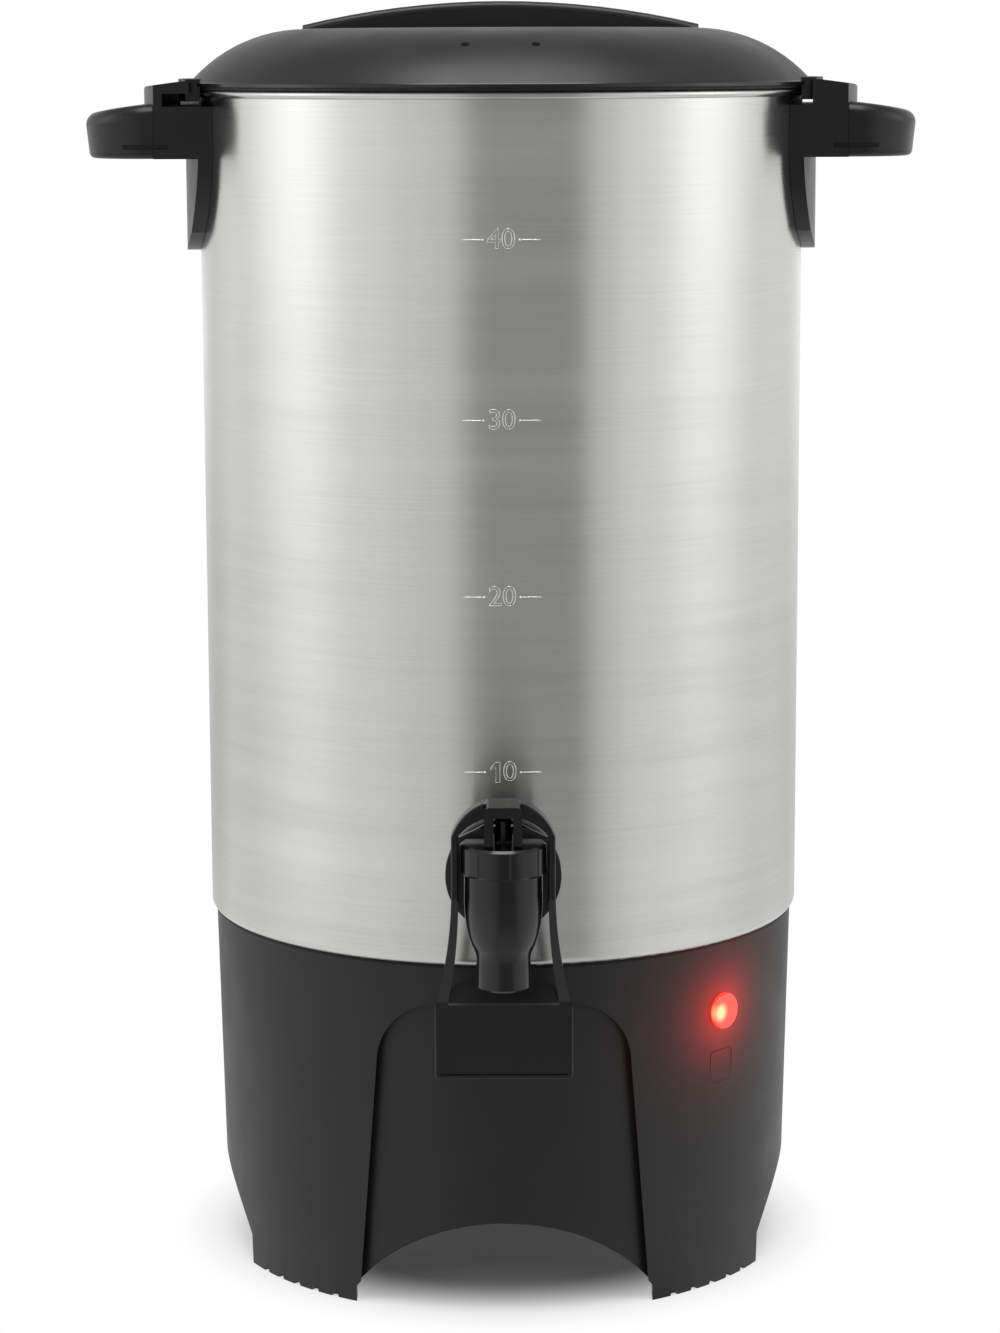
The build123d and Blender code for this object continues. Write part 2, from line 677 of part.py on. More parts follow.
# Hook block: the upright part beside the lid, its back concentric with the tank.
with BuildPart() as hook_block:
    with BuildSketch(Plane.XY.offset(RIM_Z - GRIP_LOW)):
        Circle(block_r)
        with Locations((handle_in - TANK_R / 2, 0)):
            Rectangle(TANK_R, 2 * HANDLE_HALF, mode=Mode.INTERSECT)
    extrude(amount=GRIP_LOW + BLOCK_TOP)
    with BuildSketch(Plane.XZ):
        with BuildLine():
            block_end = -block_r
            Polyline(
                (handle_in, RIM_Z - GRIP_LOW),
                (block_end, RIM_Z - GRIP_LOW),
                (block_end, RIM_Z + BLOCK_END_TOP),
                (-lip_r, RIM_Z + BLOCK_TOP),
                (handle_in, RIM_Z + BLOCK_TOP),
                close=True,
            )
        make_face()
        fillet(vertices().group_by(Axis.X)[0].sort_by(Axis.Y)[-1], BLOCK_ROUND)
    extrude(amount=2 * HANDLE_HALF, both=True, mode=Mode.INTERSECT)

# Leg: a tongue that follows the tank's curve, screwed through the wall.
with BuildPart() as leg:
    with BuildSketch(Plane.YZ.offset(-(TANK_R + 2 * LEG_THICK))):
        with BuildLine():
            leg_top = RIM_Z - GRIP_LOW + 2
            side_half, side_z = LEG_SIDE[0], RIM_Z - LEG_SIDE[1]
            end_half, end_z = LEG_SHOULDER[0], RIM_Z - LEG_SHOULDER[1]
            Line((-HANDLE_HALF, leg_top), (HANDLE_HALF, leg_top))
            ThreePointArc((HANDLE_HALF, leg_top), (side_half, side_z), (end_half, end_z))
            ThreePointArc((end_half, end_z), (0, RIM_Z - LEG_LOW), (-end_half, end_z))
            ThreePointArc((-end_half, end_z), (-side_half, side_z), (-HANDLE_HALF, leg_top))
        make_face()
    extrude(amount=TANK_R)
    with BuildSketch(Plane.XY.offset(RIM_Z - LEG_LOW - 1)):
        Circle(TANK_R + LEG_THICK)
    extrude(amount=LEG_LOW, mode=Mode.INTERSECT)

with BuildPart() as handle_left:
    add(grip.part)
    add(hook_block.part)
    add(leg.part)
    # Seat on the tank, and the notch that the lid's lug drops into.
    with BuildSketch(Plane.XY.offset(RIM_Z - LEG_LOW - 1)):
        Circle(TANK_R + HANDLE_FIT)
    extrude(amount=2 * LEG_LOW, mode=Mode.SUBTRACT)
    notch_r = TANK_R + LUG_OUT + LOCK_GAP
    tab_gap = TAB_HALF + LOCK_GAP
    with BuildSketch(Plane.XY.offset(RIM_Z - NOTCH_LOW)):
        Circle(notch_r)
    extrude(amount=2 * NOTCH_LOW, mode=Mode.SUBTRACT)
    # Way in for the tab from above, then the slot under the hook plate, open in front.
    for front, back, high in ((-tab_gap, tab_gap, NOTCH_LOW), (-2 * HANDLE_HALF, tab_gap, -HOOK_LOW)):
        with BuildSketch(Plane.XY.offset(RIM_Z - NOTCH_LOW)):
            Circle(slot_r)
            Circle(notch_r - 1, mode=Mode.SUBTRACT)
            with Locations((-slot_r, (front + back) / 2)):
                Rectangle(slot_r, back - front, mode=Mode.INTERSECT)
        extrude(amount=NOTCH_LOW + high, mode=Mode.SUBTRACT)
    # Finger hollow under the grip.
    hollow_in = TANK_R + HOLLOW_IN
    hollow_out = TANK_R + GRIP_OUT - GRIP_WALL
    with BuildSketch(Plane.XY.offset(RIM_Z - GRIP_LOW)):
        with Locations((-hollow_out + TANK_R / 2, 0)):
            RectangleRounded(TANK_R, 2 * (HANDLE_HALF - GRIP_WALL), GRIP_CORNER - GRIP_WALL)
        with Locations((-hollow_in / 2, 0)):
            Rectangle(hollow_in, 2 * HANDLE_HALF, mode=Mode.SUBTRACT)
    extrude(amount=GRIP_LOW - GRIP_ROOF, mode=Mode.SUBTRACT)
    # Groove above the lower bead, along each side; it runs out at the rounded corners.
    with BuildSketch(Plane.XY.offset(RIM_Z - GROOVE_LOW)):
        with Locations((-(TANK_R + GROOVE_IN + GRIP_OUT), 0)):
            Rectangle(2 * GRIP_OUT, 4 * HANDLE_HALF)
            Rectangle(2 * GRIP_OUT + 1, 2 * (HANDLE_HALF - GROOVE_DEEP), mode=Mode.SUBTRACT)
    extrude(amount=GROOVE_LOW - GROOVE_HIGH, mode=Mode.SUBTRACT)
    for below in SCREW_Z:
        with BuildSketch(around(-90, RIM_Z - below).offset(TANK_R - 1)):
            Circle(SCREW_R + HANDLE_FIT)
        extrude(amount=1 + SCREW_BITE + THREAD_FIT, mode=Mode.SUBTRACT)

with BuildPart() as handle_right:
    add(handle_left.part, rotation=(0, 0, 180))

# Screws and washers, from inside the tank.
washer_out = tank_in_r - WASHER_SEAT
with BuildPart() as handle_screws:
    for angle in (-90, 90):
        for below in SCREW_Z:
            seat = around(angle, RIM_Z - below).offset(washer_out - WASHER)
            with BuildSketch(seat):
                Circle(SCREW_HEAD_R)
            extrude(amount=-SCREW_HEAD)
            with BuildSketch(seat):
                Circle(SCREW_R)
            extrude(amount=TANK_R + SCREW_BITE - washer_out + WASHER)
    head_face = washer_out - WASHER - SCREW_HEAD
    head_rims = handle_screws.edges().filter_by(lambda e: abs(abs(e.center().X) - head_face) < HANDLE_FIT)
    fillet(head_rims, SCREW_HEAD_ROUND)
    for angle in (-90, 90):
        for below in SCREW_Z:
            with BuildSketch(around(angle, RIM_Z - below).offset(head_face)):
                Rectangle(RECESS_LONG, RECESS_WIDE)
                Rectangle(RECESS_WIDE, RECESS_LONG)
            extrude(amount=RECESS_DEEP, mode=Mode.SUBTRACT)

with BuildPart() as handle_washers:
    for angle in (-90, 90):
        for below in SCREW_Z:
            with BuildSketch(around(angle, RIM_Z - below).offset(washer_out)):
                Circle(WASHER_R)
                Circle(SCREW_R + HANDLE_FIT, mode=Mode.SUBTRACT)
            extrude(amount=-WASHER)

# ================================================================ base
def ring_profile(out_shift, in_shift):
    """Closed outline between two lines parallel to the drafted wall."""
    Polyline(
        (skirt_r(-1) + out_shift, -1),
        (skirt_r(SEAM_Z) + out_shift, SEAM_Z),
        (skirt_r(SEAM_Z) - in_shift, SEAM_Z),
        (skirt_r(-1) - in_shift, -1),
        close=True,
    )


def niche_outline(grow):
    """Trapezium of the front niche, seen from the front."""
    Polyline(
        (-NICHE_LOW_HALF - grow, 0),
        (-NICHE_TOP_HALF - grow, niche_top + grow),
        (NICHE_TOP_HALF + grow, niche_top + grow),
        (NICHE_LOW_HALF + grow, 0),
        close=True,
    )


with BuildPart() as niche_panel:
    with BuildSketch(Plane.XZ.offset(TANK_R / 2)):
        with BuildLine():
            niche_outline(SKIRT_WALL)
        make_face()
        fillet(vertices().group_by(Axis.Y)[-1], NICHE_ROUND)
        with Locations((0, neck_recess_top / 2 + SKIRT_WALL / 2)):
            Rectangle(2 * (NECK_HALF + SKIRT_WALL), neck_recess_top + SKIRT_WALL)
    extrude(amount=TANK_R)
    with BuildSketch(Plane.XZ):
        with BuildLine():
            ring_profile(-NICHE_SINK, NICHE_DEEP + SKIRT_WALL)
        make_face()
    revolve(axis=Axis.Z, mode=Mode.INTERSECT)

with BuildPart() as niche_space:
    with BuildSketch(Plane.XZ.offset(TANK_R / 2)):
        with BuildLine():
            niche_outline(0)
        make_face()
        fillet(vertices().group_by(Axis.Y)[-1], NICHE_ROUND)
        with Locations((0, neck_recess_top / 2)):
            RectangleRounded(2 * NECK_HALF, neck_recess_top, NECK_ROUND)
    extrude(amount=TANK_R)
    with BuildSketch(Plane.XZ):
        with BuildLine():
            ring_profile(CUT_PAST, NICHE_DEEP)
        make_face()
    revolve(axis=Axis.Z, mode=Mode.INTERSECT)


def arch(half, straight, crown):
    """Outline of an arch between two feet."""
    Polyline((half, straight), (half, -1), (-half, -1), (-half, straight))
    ThreePointArc((-half, straight), (0, crown), (half, straight))


with BuildPart() as base_skirt:
    with BuildSketch(Plane.XZ):
        with BuildLine():
            register_r = TANK_R - TANK_LIP - REGISTER_GAP
            Polyline(
                (skirt_bot_r, 0),
                (skirt_r(SEAM_Z - SKIRT_ROUND), SEAM_Z - SKIRT_ROUND),
                (skirt_top_r - SKIRT_ROUND, SEAM_Z),
                (register_r, SEAM_Z),
                (register_r, SEAM_Z + REGISTER),
                (register_r - REGISTER_WALL, SEAM_Z + REGISTER),
                (register_r - REGISTER_WALL, SEAM_Z),
                (TANK_R - LEDGE_IN, SEAM_Z),
                (TANK_R - LEDGE_IN, ledge_under),
                (skirt_r(ledge_under) - SKIRT_WALL, ledge_under),
                (skirt_bot_r - SKIRT_WALL, 0),
                close=True,
            )
        make_face()
    revolve(axis=Axis.Z)
    add(niche_panel.part)
    add(niche_space.part, mode=Mode.SUBTRACT)
    # Pads under the ledge for the cross strap, and bosses for the cover's screws.
    strap_top = strap_z + STRAP_THICK
    for side in (-1, 1):
        with BuildSketch(Plane.XY.offset(strap_top)):
            with Locations((side * (TANK_R - (PAD_IN + PAD_OUT) / 2), 0)):
                Rectangle(PAD_IN - PAD_OUT, 2 * PAD_HALF)
        extrude(amount=ledge_under - strap_top + 1)
    for angle in BOSS_ANGLES:
        with BuildSketch(Plane.XY.offset(cover_top)):
            with Locations(spot(angle, TANK_R - BOSS_IN)):
                Circle(COVER_SCREW_R + BOSS_WALL)
        extrude(amount=BOSS_HIGH)
        with BuildSketch(Plane.XY.offset(cover_top)):
            with Locations(spot(angle, TANK_R - BOSS_IN)):
                Circle(COVER_SCREW_R + HANDLE_FIT)
        extrude(amount=COVER_SCREW_LEN, mode=Mode.SUBTRACT)
    # Arches between the feet.
    with BuildSketch(Plane.XZ):
        with BuildLine():
            arch(*FRONT_ARCH)
        make_face()
    extrude(amount=2 * TANK_R, both=True, mode=Mode.SUBTRACT)
    with BuildSketch(Plane.YZ):
        with BuildLine():
            arch(*SIDE_ARCH)
        make_face()
    extrude(amount=2 * TANK_R, both=True, mode=Mode.SUBTRACT)
    # Grooves under the feet.
    first = GROOVE_MID - GROOVE_STEP * (GROOVE_COUNT - 1) / 2
    for foot in (0, 180):
        for mirror_sign in (-1, 1):
            for index in range(GROOVE_COUNT):
                angle = foot + mirror_sign * (first + index * GROOVE_STEP)
                with BuildSketch(around(angle).offset(skirt_bot_r - GROOVE_INTO)):
                    Circle(GROOVE_R)
                extrude(amount=LEDGE_IN, mode=Mode.SUBTRACT)
    # Lamp hole, gland hole and the engraved square.
    with BuildSketch(lamp_plane.offset(TANK_R / 2)):
        Circle(barrel_r + LAMP_FIT)
    extrude(amount=TANK_R, mode=Mode.SUBTRACT)
    with BuildSketch(gland_plane.offset(TANK_R / 2)):
        Circle(gland_r + LAMP_FIT)
    extrude(amount=TANK_R, mode=Mode.SUBTRACT)
    with BuildSketch(around(LAMP_ANGLE, panel_z).offset(skirt_r(panel_z) - PANEL_DEEP)):
        RectangleRounded(PANEL_SIDE, PANEL_SIDE, PANEL_ROUND)
        inner_side = PANEL_SIDE - 2 * PANEL_LINE
        RectangleRounded(inner_side, inner_side, PANEL_ROUND - PANEL_LINE, mode=Mode.SUBTRACT)
    extrude(amount=CUT_PAST, mode=Mode.SUBTRACT)

# Plate that closes the underside, cut back behind the niche.
with BuildPart() as base_cover:
    with BuildSketch(Plane.XY.offset(COVER_Z)):
        Circle(skirt_r(COVER_Z) - SKIRT_WALL - COVER_GAP)
        with Locations((0, -TANK_R)):
            niche_wide = 2 * (NICHE_LOW_HALF + SKIRT_WALL + COVER_GAP)
            Rectangle(niche_wide, 2 * TANK_R, mode=Mode.SUBTRACT)
        Circle(skirt_r(COVER_Z) - SKIRT_WALL - NICHE_DEEP - COVER_GAP)
        for angle in BOSS_ANGLES:
            with Locations(spot(angle, TANK_R - BOSS_IN)):
                Circle(COVER_SCREW_R + SCREW_FIT, mode=Mode.SUBTRACT)
    extrude(amount=COVER_THICK)

with BuildPart() as cover_screws:
    for angle in BOSS_ANGLES:
        with BuildSketch(Plane.XY.offset(COVER_Z)):
            with Locations(spot(angle, TANK_R - BOSS_IN)):
                Circle(COVER_SCREW_R + COVER_HEAD_RIM)
        extrude(amount=-COVER_HEAD)
        with BuildSketch(Plane.XY.offset(COVER_Z)):
            with Locations(spot(angle, TANK_R - BOSS_IN)):
                Circle(COVER_SCREW_R)
        extrude(amount=COVER_THICK + COVER_SCREW_LEN - 1)
    fillet(cover_screws.edges().group_by(Axis.Z)[0], COVER_HEAD_ROUND)
    for angle in BOSS_ANGLES:
        with BuildSketch(Plane.XY.offset(COVER_Z - COVER_HEAD)):
            with Locations(spot(angle, TANK_R - BOSS_IN)):
                Rectangle(RECESS_LONG, RECESS_WIDE)
                Rectangle(RECESS_WIDE, RECESS_LONG)
        extrude(amount=RECESS_DEEP, mode=Mode.SUBTRACT)

# Strap across the base that draws the skirt up against the tank.
with BuildPart() as base_strap:
    with BuildSketch(Plane.XY.offset(strap_z)):
        RectangleRounded(2 * (TANK_R - PAD_IN + STRAP_OVERHANG), 2 * STRAP_HALF, STRAP_ROUND)
        Circle(STUD_R + STUD_FIT, mode=Mode.SUBTRACT)
    extrude(amount=STRAP_THICK)

# ================================================================ lamp
lamp_out = Axis((0, 0, 0), lamp_plane.z_dir)
lens_seat = skirt_r(lamp_z + lens_r) + SEAT_GAP
with BuildPart() as lamp_lens:
    with BuildSketch(lamp_plane.offset(lens_seat)):
        Circle(lens_r)
    extrude(amount=LENS_FLANGE + LENS_DOME)
    fillet(lamp_lens.edges().sort_by(lamp_out)[-1], LENS_DOME)
    with BuildSketch(lamp_plane.offset(lens_seat - LENS_BARREL)):
        Circle(barrel_r)
    extrude(amount=LENS_BARREL)
    with BuildSketch(lamp_plane.offset(lens_seat - LENS_BARREL)):
        Circle(lens_bore_r)
    extrude(amount=LENS_BARREL + LENS_FLANGE / 2, mode=Mode.SUBTRACT)

with BuildPart() as neon_lamp:
    with BuildSketch(lamp_plane.offset(lens_seat - NEON_LEN)):
        Circle(NEON_R)
    extrude(amount=NEON_LEN)
    fillet(neon_lamp.edges().sort_by(lamp_out)[-1], NEON_ROUND)

with BuildPart() as lamp_retainer:
    lamp_wall = sqrt((skirt_r(lamp_z - retainer_r) - SKIRT_WALL) ** 2 - retainer_r**2)
    with BuildSketch(lamp_plane.offset(lamp_wall - SEAT_GAP)):
        Circle(retainer_r)
        Circle(barrel_r + SEAT_GAP, mode=Mode.SUBTRACT)
    extrude(amount=-RETAINER)

# ================================================================ cord gland
gland_seat = skirt_r(GLAND_Z + gland_flange_r) + SEAT_GAP
with BuildPart() as cord_gland:
    with BuildSketch(gland_plane.offset(gland_seat)):
        Circle(gland_flange_r)
    extrude(amount=GLAND_FLANGE)
    fillet(cord_gland.edges().sort_by(Axis.Y)[-1], GLAND_ROUND)
    with BuildSketch(gland_plane.offset(gland_seat - GLAND_IN)):
        Circle(gland_r)
    extrude(amount=GLAND_IN)
    with BuildSketch(gland_plane.offset(gland_seat - GLAND_IN)):
        Circle(GLAND_BORE_R)
    extrude(amount=GLAND_IN + GLAND_FLANGE, mode=Mode.SUBTRACT)

with BuildPart() as gland_nut:
    gland_wall = sqrt((skirt_r(GLAND_Z - gland_flange_r) - SKIRT_WALL) ** 2 - gland_flange_r**2)
    with BuildSketch(gland_plane.offset(gland_wall - SEAT_GAP)):
        RegularPolygon(gland_flange_r, 6)
        Circle(gland_r + THREAD_FIT, mode=Mode.SUBTRACT)
    extrude(amount=-GLAND_NUT)

# ================================================================ tap
tap_flange_y = TANK_R + GASKET
with BuildPart() as tap_gasket_outer:
    with BuildSketch(shank_plane.offset(TANK_R - 5)):
        Circle(GASKET_R)
        Circle(SHANK_R + THREAD_FIT, mode=Mode.SUBTRACT)
    extrude(amount=GASKET + 5)
    with BuildSketch(Plane.XY.offset(tap_z - 2 * GASKET_R)):
        Circle(TANK_R + HANDLE_FIT)
    extrude(amount=4 * GASKET_R, mode=Mode.SUBTRACT)

with BuildPart() as tap_gasket_inner:
    with BuildSketch(shank_plane.offset(tank_in_r - INNER_GASKET)):
        Circle(INNER_GASKET_R)
        Circle(SHANK_R + THREAD_FIT, mode=Mode.SUBTRACT)
    extrude(amount=5)
    with BuildSketch(Plane.XY.offset(tap_z - 2 * GASKET_R)):
        Circle(tank_in_r - HANDLE_FIT)
    extrude(amount=4 * GASKET_R, mode=Mode.INTERSECT)

with BuildPart() as tap_nut:
    with BuildSketch(shank_plane.offset(tank_in_r - INNER_GASKET)):
        RegularPolygon(TAP_NUT_R, 6)
        Circle(SHANK_R + THREAD_FIT, mode=Mode.SUBTRACT)
    extrude(amount=-TAP_NUT)

# Body: a vase over the spout, on a shank that passes through the wall.
with BuildPart() as tap_body:
    with BuildSketch(tap_section):
        with BuildLine():
            neck_z = spout_z + SPOUT_LONG
            vase_z = neck_z + VASE_LONG
            Polyline(
                (0, spout_z),
                (SPOUT_R - SPOUT_CHAMFER, spout_z),
                (SPOUT_R, spout_z + SPOUT_CHAMFER),
                (SPOUT_R, neck_z),
            )
            Spline(
                (SPOUT_R, neck_z),
                (SPOUT_R + 0.45 * (vase_r - SPOUT_R), neck_z + 0.27 * VASE_LONG),
                (SPOUT_R + 0.9 * (vase_r - SPOUT_R), neck_z + 0.65 * VASE_LONG),
                (vase_r, vase_z),
                tangents=((0, 1), (0, 1)),
            )
            Polyline(
                (vase_r, vase_z),
                (vase_r, vase_top),
                (neck_r, vase_top),
                (neck_r, neck_top),
                (0, neck_top),
                (0, spout_z),
            )
        make_face()
    revolve(axis=tap_axis)
    with BuildSketch(shank_plane.offset(TANK_R - SHANK_IN)):
        Circle(SHANK_R)
    extrude(amount=SHANK_IN + GASKET)
    with BuildSketch(shank_plane.offset(tap_flange_y)):
        Circle(TAP_FLANGE_R)
    extrude(amount=TAP_FLANGE)
    with BuildSketch(shank_plane.offset(tap_flange_y)):
        Circle(SHANK_OUT_R)
    extrude(amount=-tap_y - tap_flange_y)
    # Chamber, seat and spout, then the bore through the shank.
    with BuildSketch(tap_section):
        with BuildLine():
            Polyline(
                (0, spout_z - 1),
                (SPOUT_R - SPOUT_WALL, spout_z - 1),
                (SPOUT_R - SPOUT_WALL, seat_under),
                (SEAT_HOLE_R, seat_under),
                (SEAT_HOLE_R, seat_z),
                (CHAMBER_R, seat_z),
                (CHAMBER_R, neck_top + 1),
                (0, neck_top + 1),
                close=True,
            )
        make_face()
    revolve(axis=tap_axis, mode=Mode.SUBTRACT)
    with BuildSketch(shank_plane.offset(TANK_R - SHANK_IN)):
        Circle(SHANK_BORE_R)
    extrude(amount=SHANK_IN - TANK_R - tap_y, mode=Mode.SUBTRACT)

with BuildPart() as tap_collar:
    with BuildSketch(tap_section):
        with BuildLine():
            Polyline(
                (neck_r + THREAD_FIT, vase_top + THREAD_FIT),
                (collar_r - COLLAR_EDGE, vase_top + THREAD_FIT),
                (collar_r, vase_top + THREAD_FIT + COLLAR_EDGE),
                (collar_r, collar_top - COLLAR_EDGE),
                (collar_r - COLLAR_EDGE, collar_top),
                (STEM_R + STEM_FIT, collar_top),
                (STEM_R + STEM_FIT, web_under),
                (neck_r + THREAD_FIT, web_under),
                close=True,
            )
        make_face()
    revolve(axis=tap_axis)
    rib_low = vase_top + THREAD_FIT + COLLAR_EDGE
    with BuildSketch(Plane(origin=(0, tap_y, rib_low))):
        with PolarLocations(collar_r + COLLAR_RIB_OUT - COLLAR_RIB_R, COLLAR_RIBS, COLLAR_TURN):
            Circle(COLLAR_RIB_R)
    extrude(amount=collar_top - COLLAR_EDGE - rib_low)

with BuildPart() as seat_cup:
    with BuildSketch(tap_section):
        with BuildLine():
            hold_z = cup_z + CUP_WALL
            hold_top = hold_z + STEM_FOOT_HIGH
            Polyline(
                (0, cup_z),
                (cup_r, cup_z),
                (cup_r, cup_z + CUP_EDGE),
                (cup_r - CUP_TAPER, cup_top),
                (STEM_R + STEM_FIT, cup_top),
                (STEM_R + STEM_FIT, hold_top + STEM_FIT),
                (stem_foot_r + STEM_FIT, hold_top + STEM_FIT),
                (stem_foot_r + STEM_FIT, hold_z),
                (0, hold_z),
                close=True,
            )
        make_face()
    revolve(axis=tap_axis)

with BuildPart() as tap_stem:
    with BuildSketch(tap_section):
        with BuildLine():
            Polyline(
                (0, hold_z + SEAL_GAP),
                (stem_foot_r, hold_z + SEAL_GAP),
                (stem_foot_r, hold_top),
                (STEM_R, hold_top),
                (STEM_R, stem_flange_z),
                (STEM_FLANGE_R, stem_flange_z),
                (STEM_FLANGE_R, stem_spring_z),
                (STEM_R, stem_spring_z),
                (STEM_R, stem_top),
                (0, stem_top),
                close=True,
            )
        make_face()
        fillet(vertices().group_by(Axis.Y)[-1].sort_by(Axis.X)[-1], STEM_ROUND)
    revolve(axis=tap_axis)
    with BuildSketch(Plane.YZ.offset(-2 * STEM_R)):
        with Locations((tap_y, pin_z)):
            Circle(PIN_R + PIN_FIT)
    extrude(amount=4 * STEM_R, mode=Mode.SUBTRACT)

# Compression spring between the stem's flange and the collar's web.
with BuildPart() as tap_spring:
    spring_low = stem_spring_z + SPRING_FIT + SPRING_WIRE
    spring_high = web_under - SPRING_FIT - SPRING_WIRE
    with BuildLine(Plane(origin=(0, tap_y, spring_low))) as coil:
        Helix((spring_high - spring_low) / SPRING_TURNS, spring_high - spring_low, spring_r)
    with BuildSketch(Plane(origin=coil.line @ 0, z_dir=coil.line % 0)):
        Circle(SPRING_WIRE)
    sweep()

with BuildPart() as lever_pin:
    pin_half = hub_half - PIN_SHORT
    with BuildSketch(Plane.YZ.offset(-pin_half)):
        with Locations((tap_y, pin_z)):
            Circle(PIN_R)
    extrude(amount=2 * pin_half)

# Lever: an arched strap over the tap that carries the push plate, on a forked hub.
arm_out = arm_in + ARM_THICK
with BuildPart() as tap_lever:
    with BuildSketch(Plane.XZ.offset(TANK_R)):
        with BuildLine():
            ThreePointArc((-arm_out, arch_spring), (0, arch_top), (arm_out, arch_spring))
            Line((arm_out, arch_spring), (arm_out, flare_out_z))
            TangentArc((arm_out, flare_out_z), (PLATE_HALF, plate_top - PLATE_LAP), tangent=(0, -1))
            Polyline(
                (PLATE_HALF, plate_top - PLATE_LAP),
                (PLATE_HALF, plate_low),
                (-PLATE_HALF, plate_low),
                (-PLATE_HALF, plate_top - PLATE_LAP),
            )
            TangentArc((-arm_out, flare_out_z), (-PLATE_HALF, plate_top - PLATE_LAP), tangent=(0, -1))
            Line((-arm_out, flare_out_z), (-arm_out, arch_spring))
        make_face()
        fillet(vertices().group_by(Axis.Y)[0], PLATE_ROUND)
        with BuildLine():
            ThreePointArc((-arm_in, arch_spring), (0, arch_under), (arm_in, arch_spring))
            Line((arm_in, arch_spring), (arm_in, tap_z))
            TangentArc((arm_in, tap_z), (WINDOW_HALF, plate_top), tangent=(0, -1))
            Line((WINDOW_HALF, plate_top), (-WINDOW_HALF, plate_top))
            TangentArc((-arm_in, tap_z), (-WINDOW_HALF, plate_top), tangent=(0, -1))
            Line((-arm_in, tap_z), (-arm_in, arch_spring))
        make_face(mode=Mode.SUBTRACT)
    extrude(amount=2 * TAP_REACH)
    # Seen from the side, the arms lean back to the plate behind the spout.
    with BuildSketch(Plane.YZ.offset(-2 * PLATE_HALF)):
        with BuildLine():
            plate_y = tap_y + PLATE_BACK
            Polyline(
                (tap_y - ARM_FRONT, hub_top + CUT_PAST),
                (tap_y - ARM_FRONT, tap_z),
                (plate_y, plate_top + PLATE_LAP),
                (plate_y, plate_low - CUT_PAST),
                (plate_y + PLATE_THICK, plate_low - CUT_PAST),
                (plate_y + PLATE_THICK, plate_top + PLATE_LAP + 2),
                (tap_y + ARM_BACK, flare_out_z),
                (tap_y + ARM_BACK, hub_top + CUT_PAST),
                close=True,
            )
        make_face()
    extrude(amount=4 * PLATE_HALF, mode=Mode.INTERSECT)
    # The strap stops at the hub's sides.
    with BuildSketch(Plane.XZ.offset(TANK_R)):
        with Locations((0, (hub_top + hub_low) / 2 + CUT_PAST)):
            Rectangle(2 * hub_half, hub_top - hub_low + 2 * CUT_PAST)
    extrude(amount=2 * TAP_REACH, mode=Mode.SUBTRACT)
    with BuildSketch(Plane.XZ.offset(-plate_y - PLATE_PANEL)):
        with Locations((0, (plate_top - PLATE_LAP + plate_low) / 2)):
            panel_high = plate_top - PLATE_LAP - plate_low - 2 * PLATE_BORDER
            RectangleRounded(2 * (PLATE_HALF - PLATE_BORDER), panel_high, 1)
    extrude(amount=2 * PLATE_PANEL, mode=Mode.SUBTRACT)
    # The strap's front edges and the plate's front edges are rounded.
    strap_edges = [
        e
        for e in edges()
        if abs(e.center().Y - tap_y + ARM_FRONT) < 0.01
        and e.center().Z > flare_out_z
        and abs(e.center().X) > hub_half + 0.01
    ]
    plate_edges = [
        e
        for e in edges()
        if abs(e.center().Y - plate_y) < 0.01
        and (abs(abs(e.center().X) - PLATE_HALF) < 0.01 or abs(e.center().Z - plate_low) < 0.01)
    ]
    fillet(strap_edges + plate_edges, ARM_ROUND)
    # Hub with its fork, and a web each side.
    with BuildSketch(Plane.XZ.offset(-tap_y - HUB_BACK)):
        with Locations((0, (hub_top + hub_low) / 2)):
            Rectangle(2 * hub_half, hub_top - hub_low)
        fillet(vertices().group_by(Axis.Y)[-1], HUB_ROUND)
    extrude(amount=HUB_FRONT + HUB_BACK)
    with BuildSketch(Plane.XZ.offset(-tap_y - ARM_BACK)):
        with BuildLine():
            Polyline(
                (-arm_in - WEB_INTO, hub_low + WEB_LOW),
                (-hub_half + WEB_INTO, pin_z),
                (hub_half - WEB_INTO, pin_z),
                (arm_in + WEB_INTO, hub_low + WEB_LOW),
                close=True,
            )
        make_face()
    extrude(amount=ARM_BACK - WEB_BACK)
    with BuildSketch(Plane.XZ.offset(TANK_R)):
        with Locations((0, (hub_slot_top + hub_low) / 2)):
            Rectangle(2 * hub_slot, hub_slot_top - hub_low)
    extrude(amount=2 * TAP_REACH, mode=Mode.SUBTRACT)
    with BuildSketch(Plane.YZ.offset(-2 * hub_half)):
        with Locations((tap_y, pin_z)):
            Circle(PIN_R + PIN_FIT)
    extrude(amount=4 * hub_half, mode=Mode.SUBTRACT)

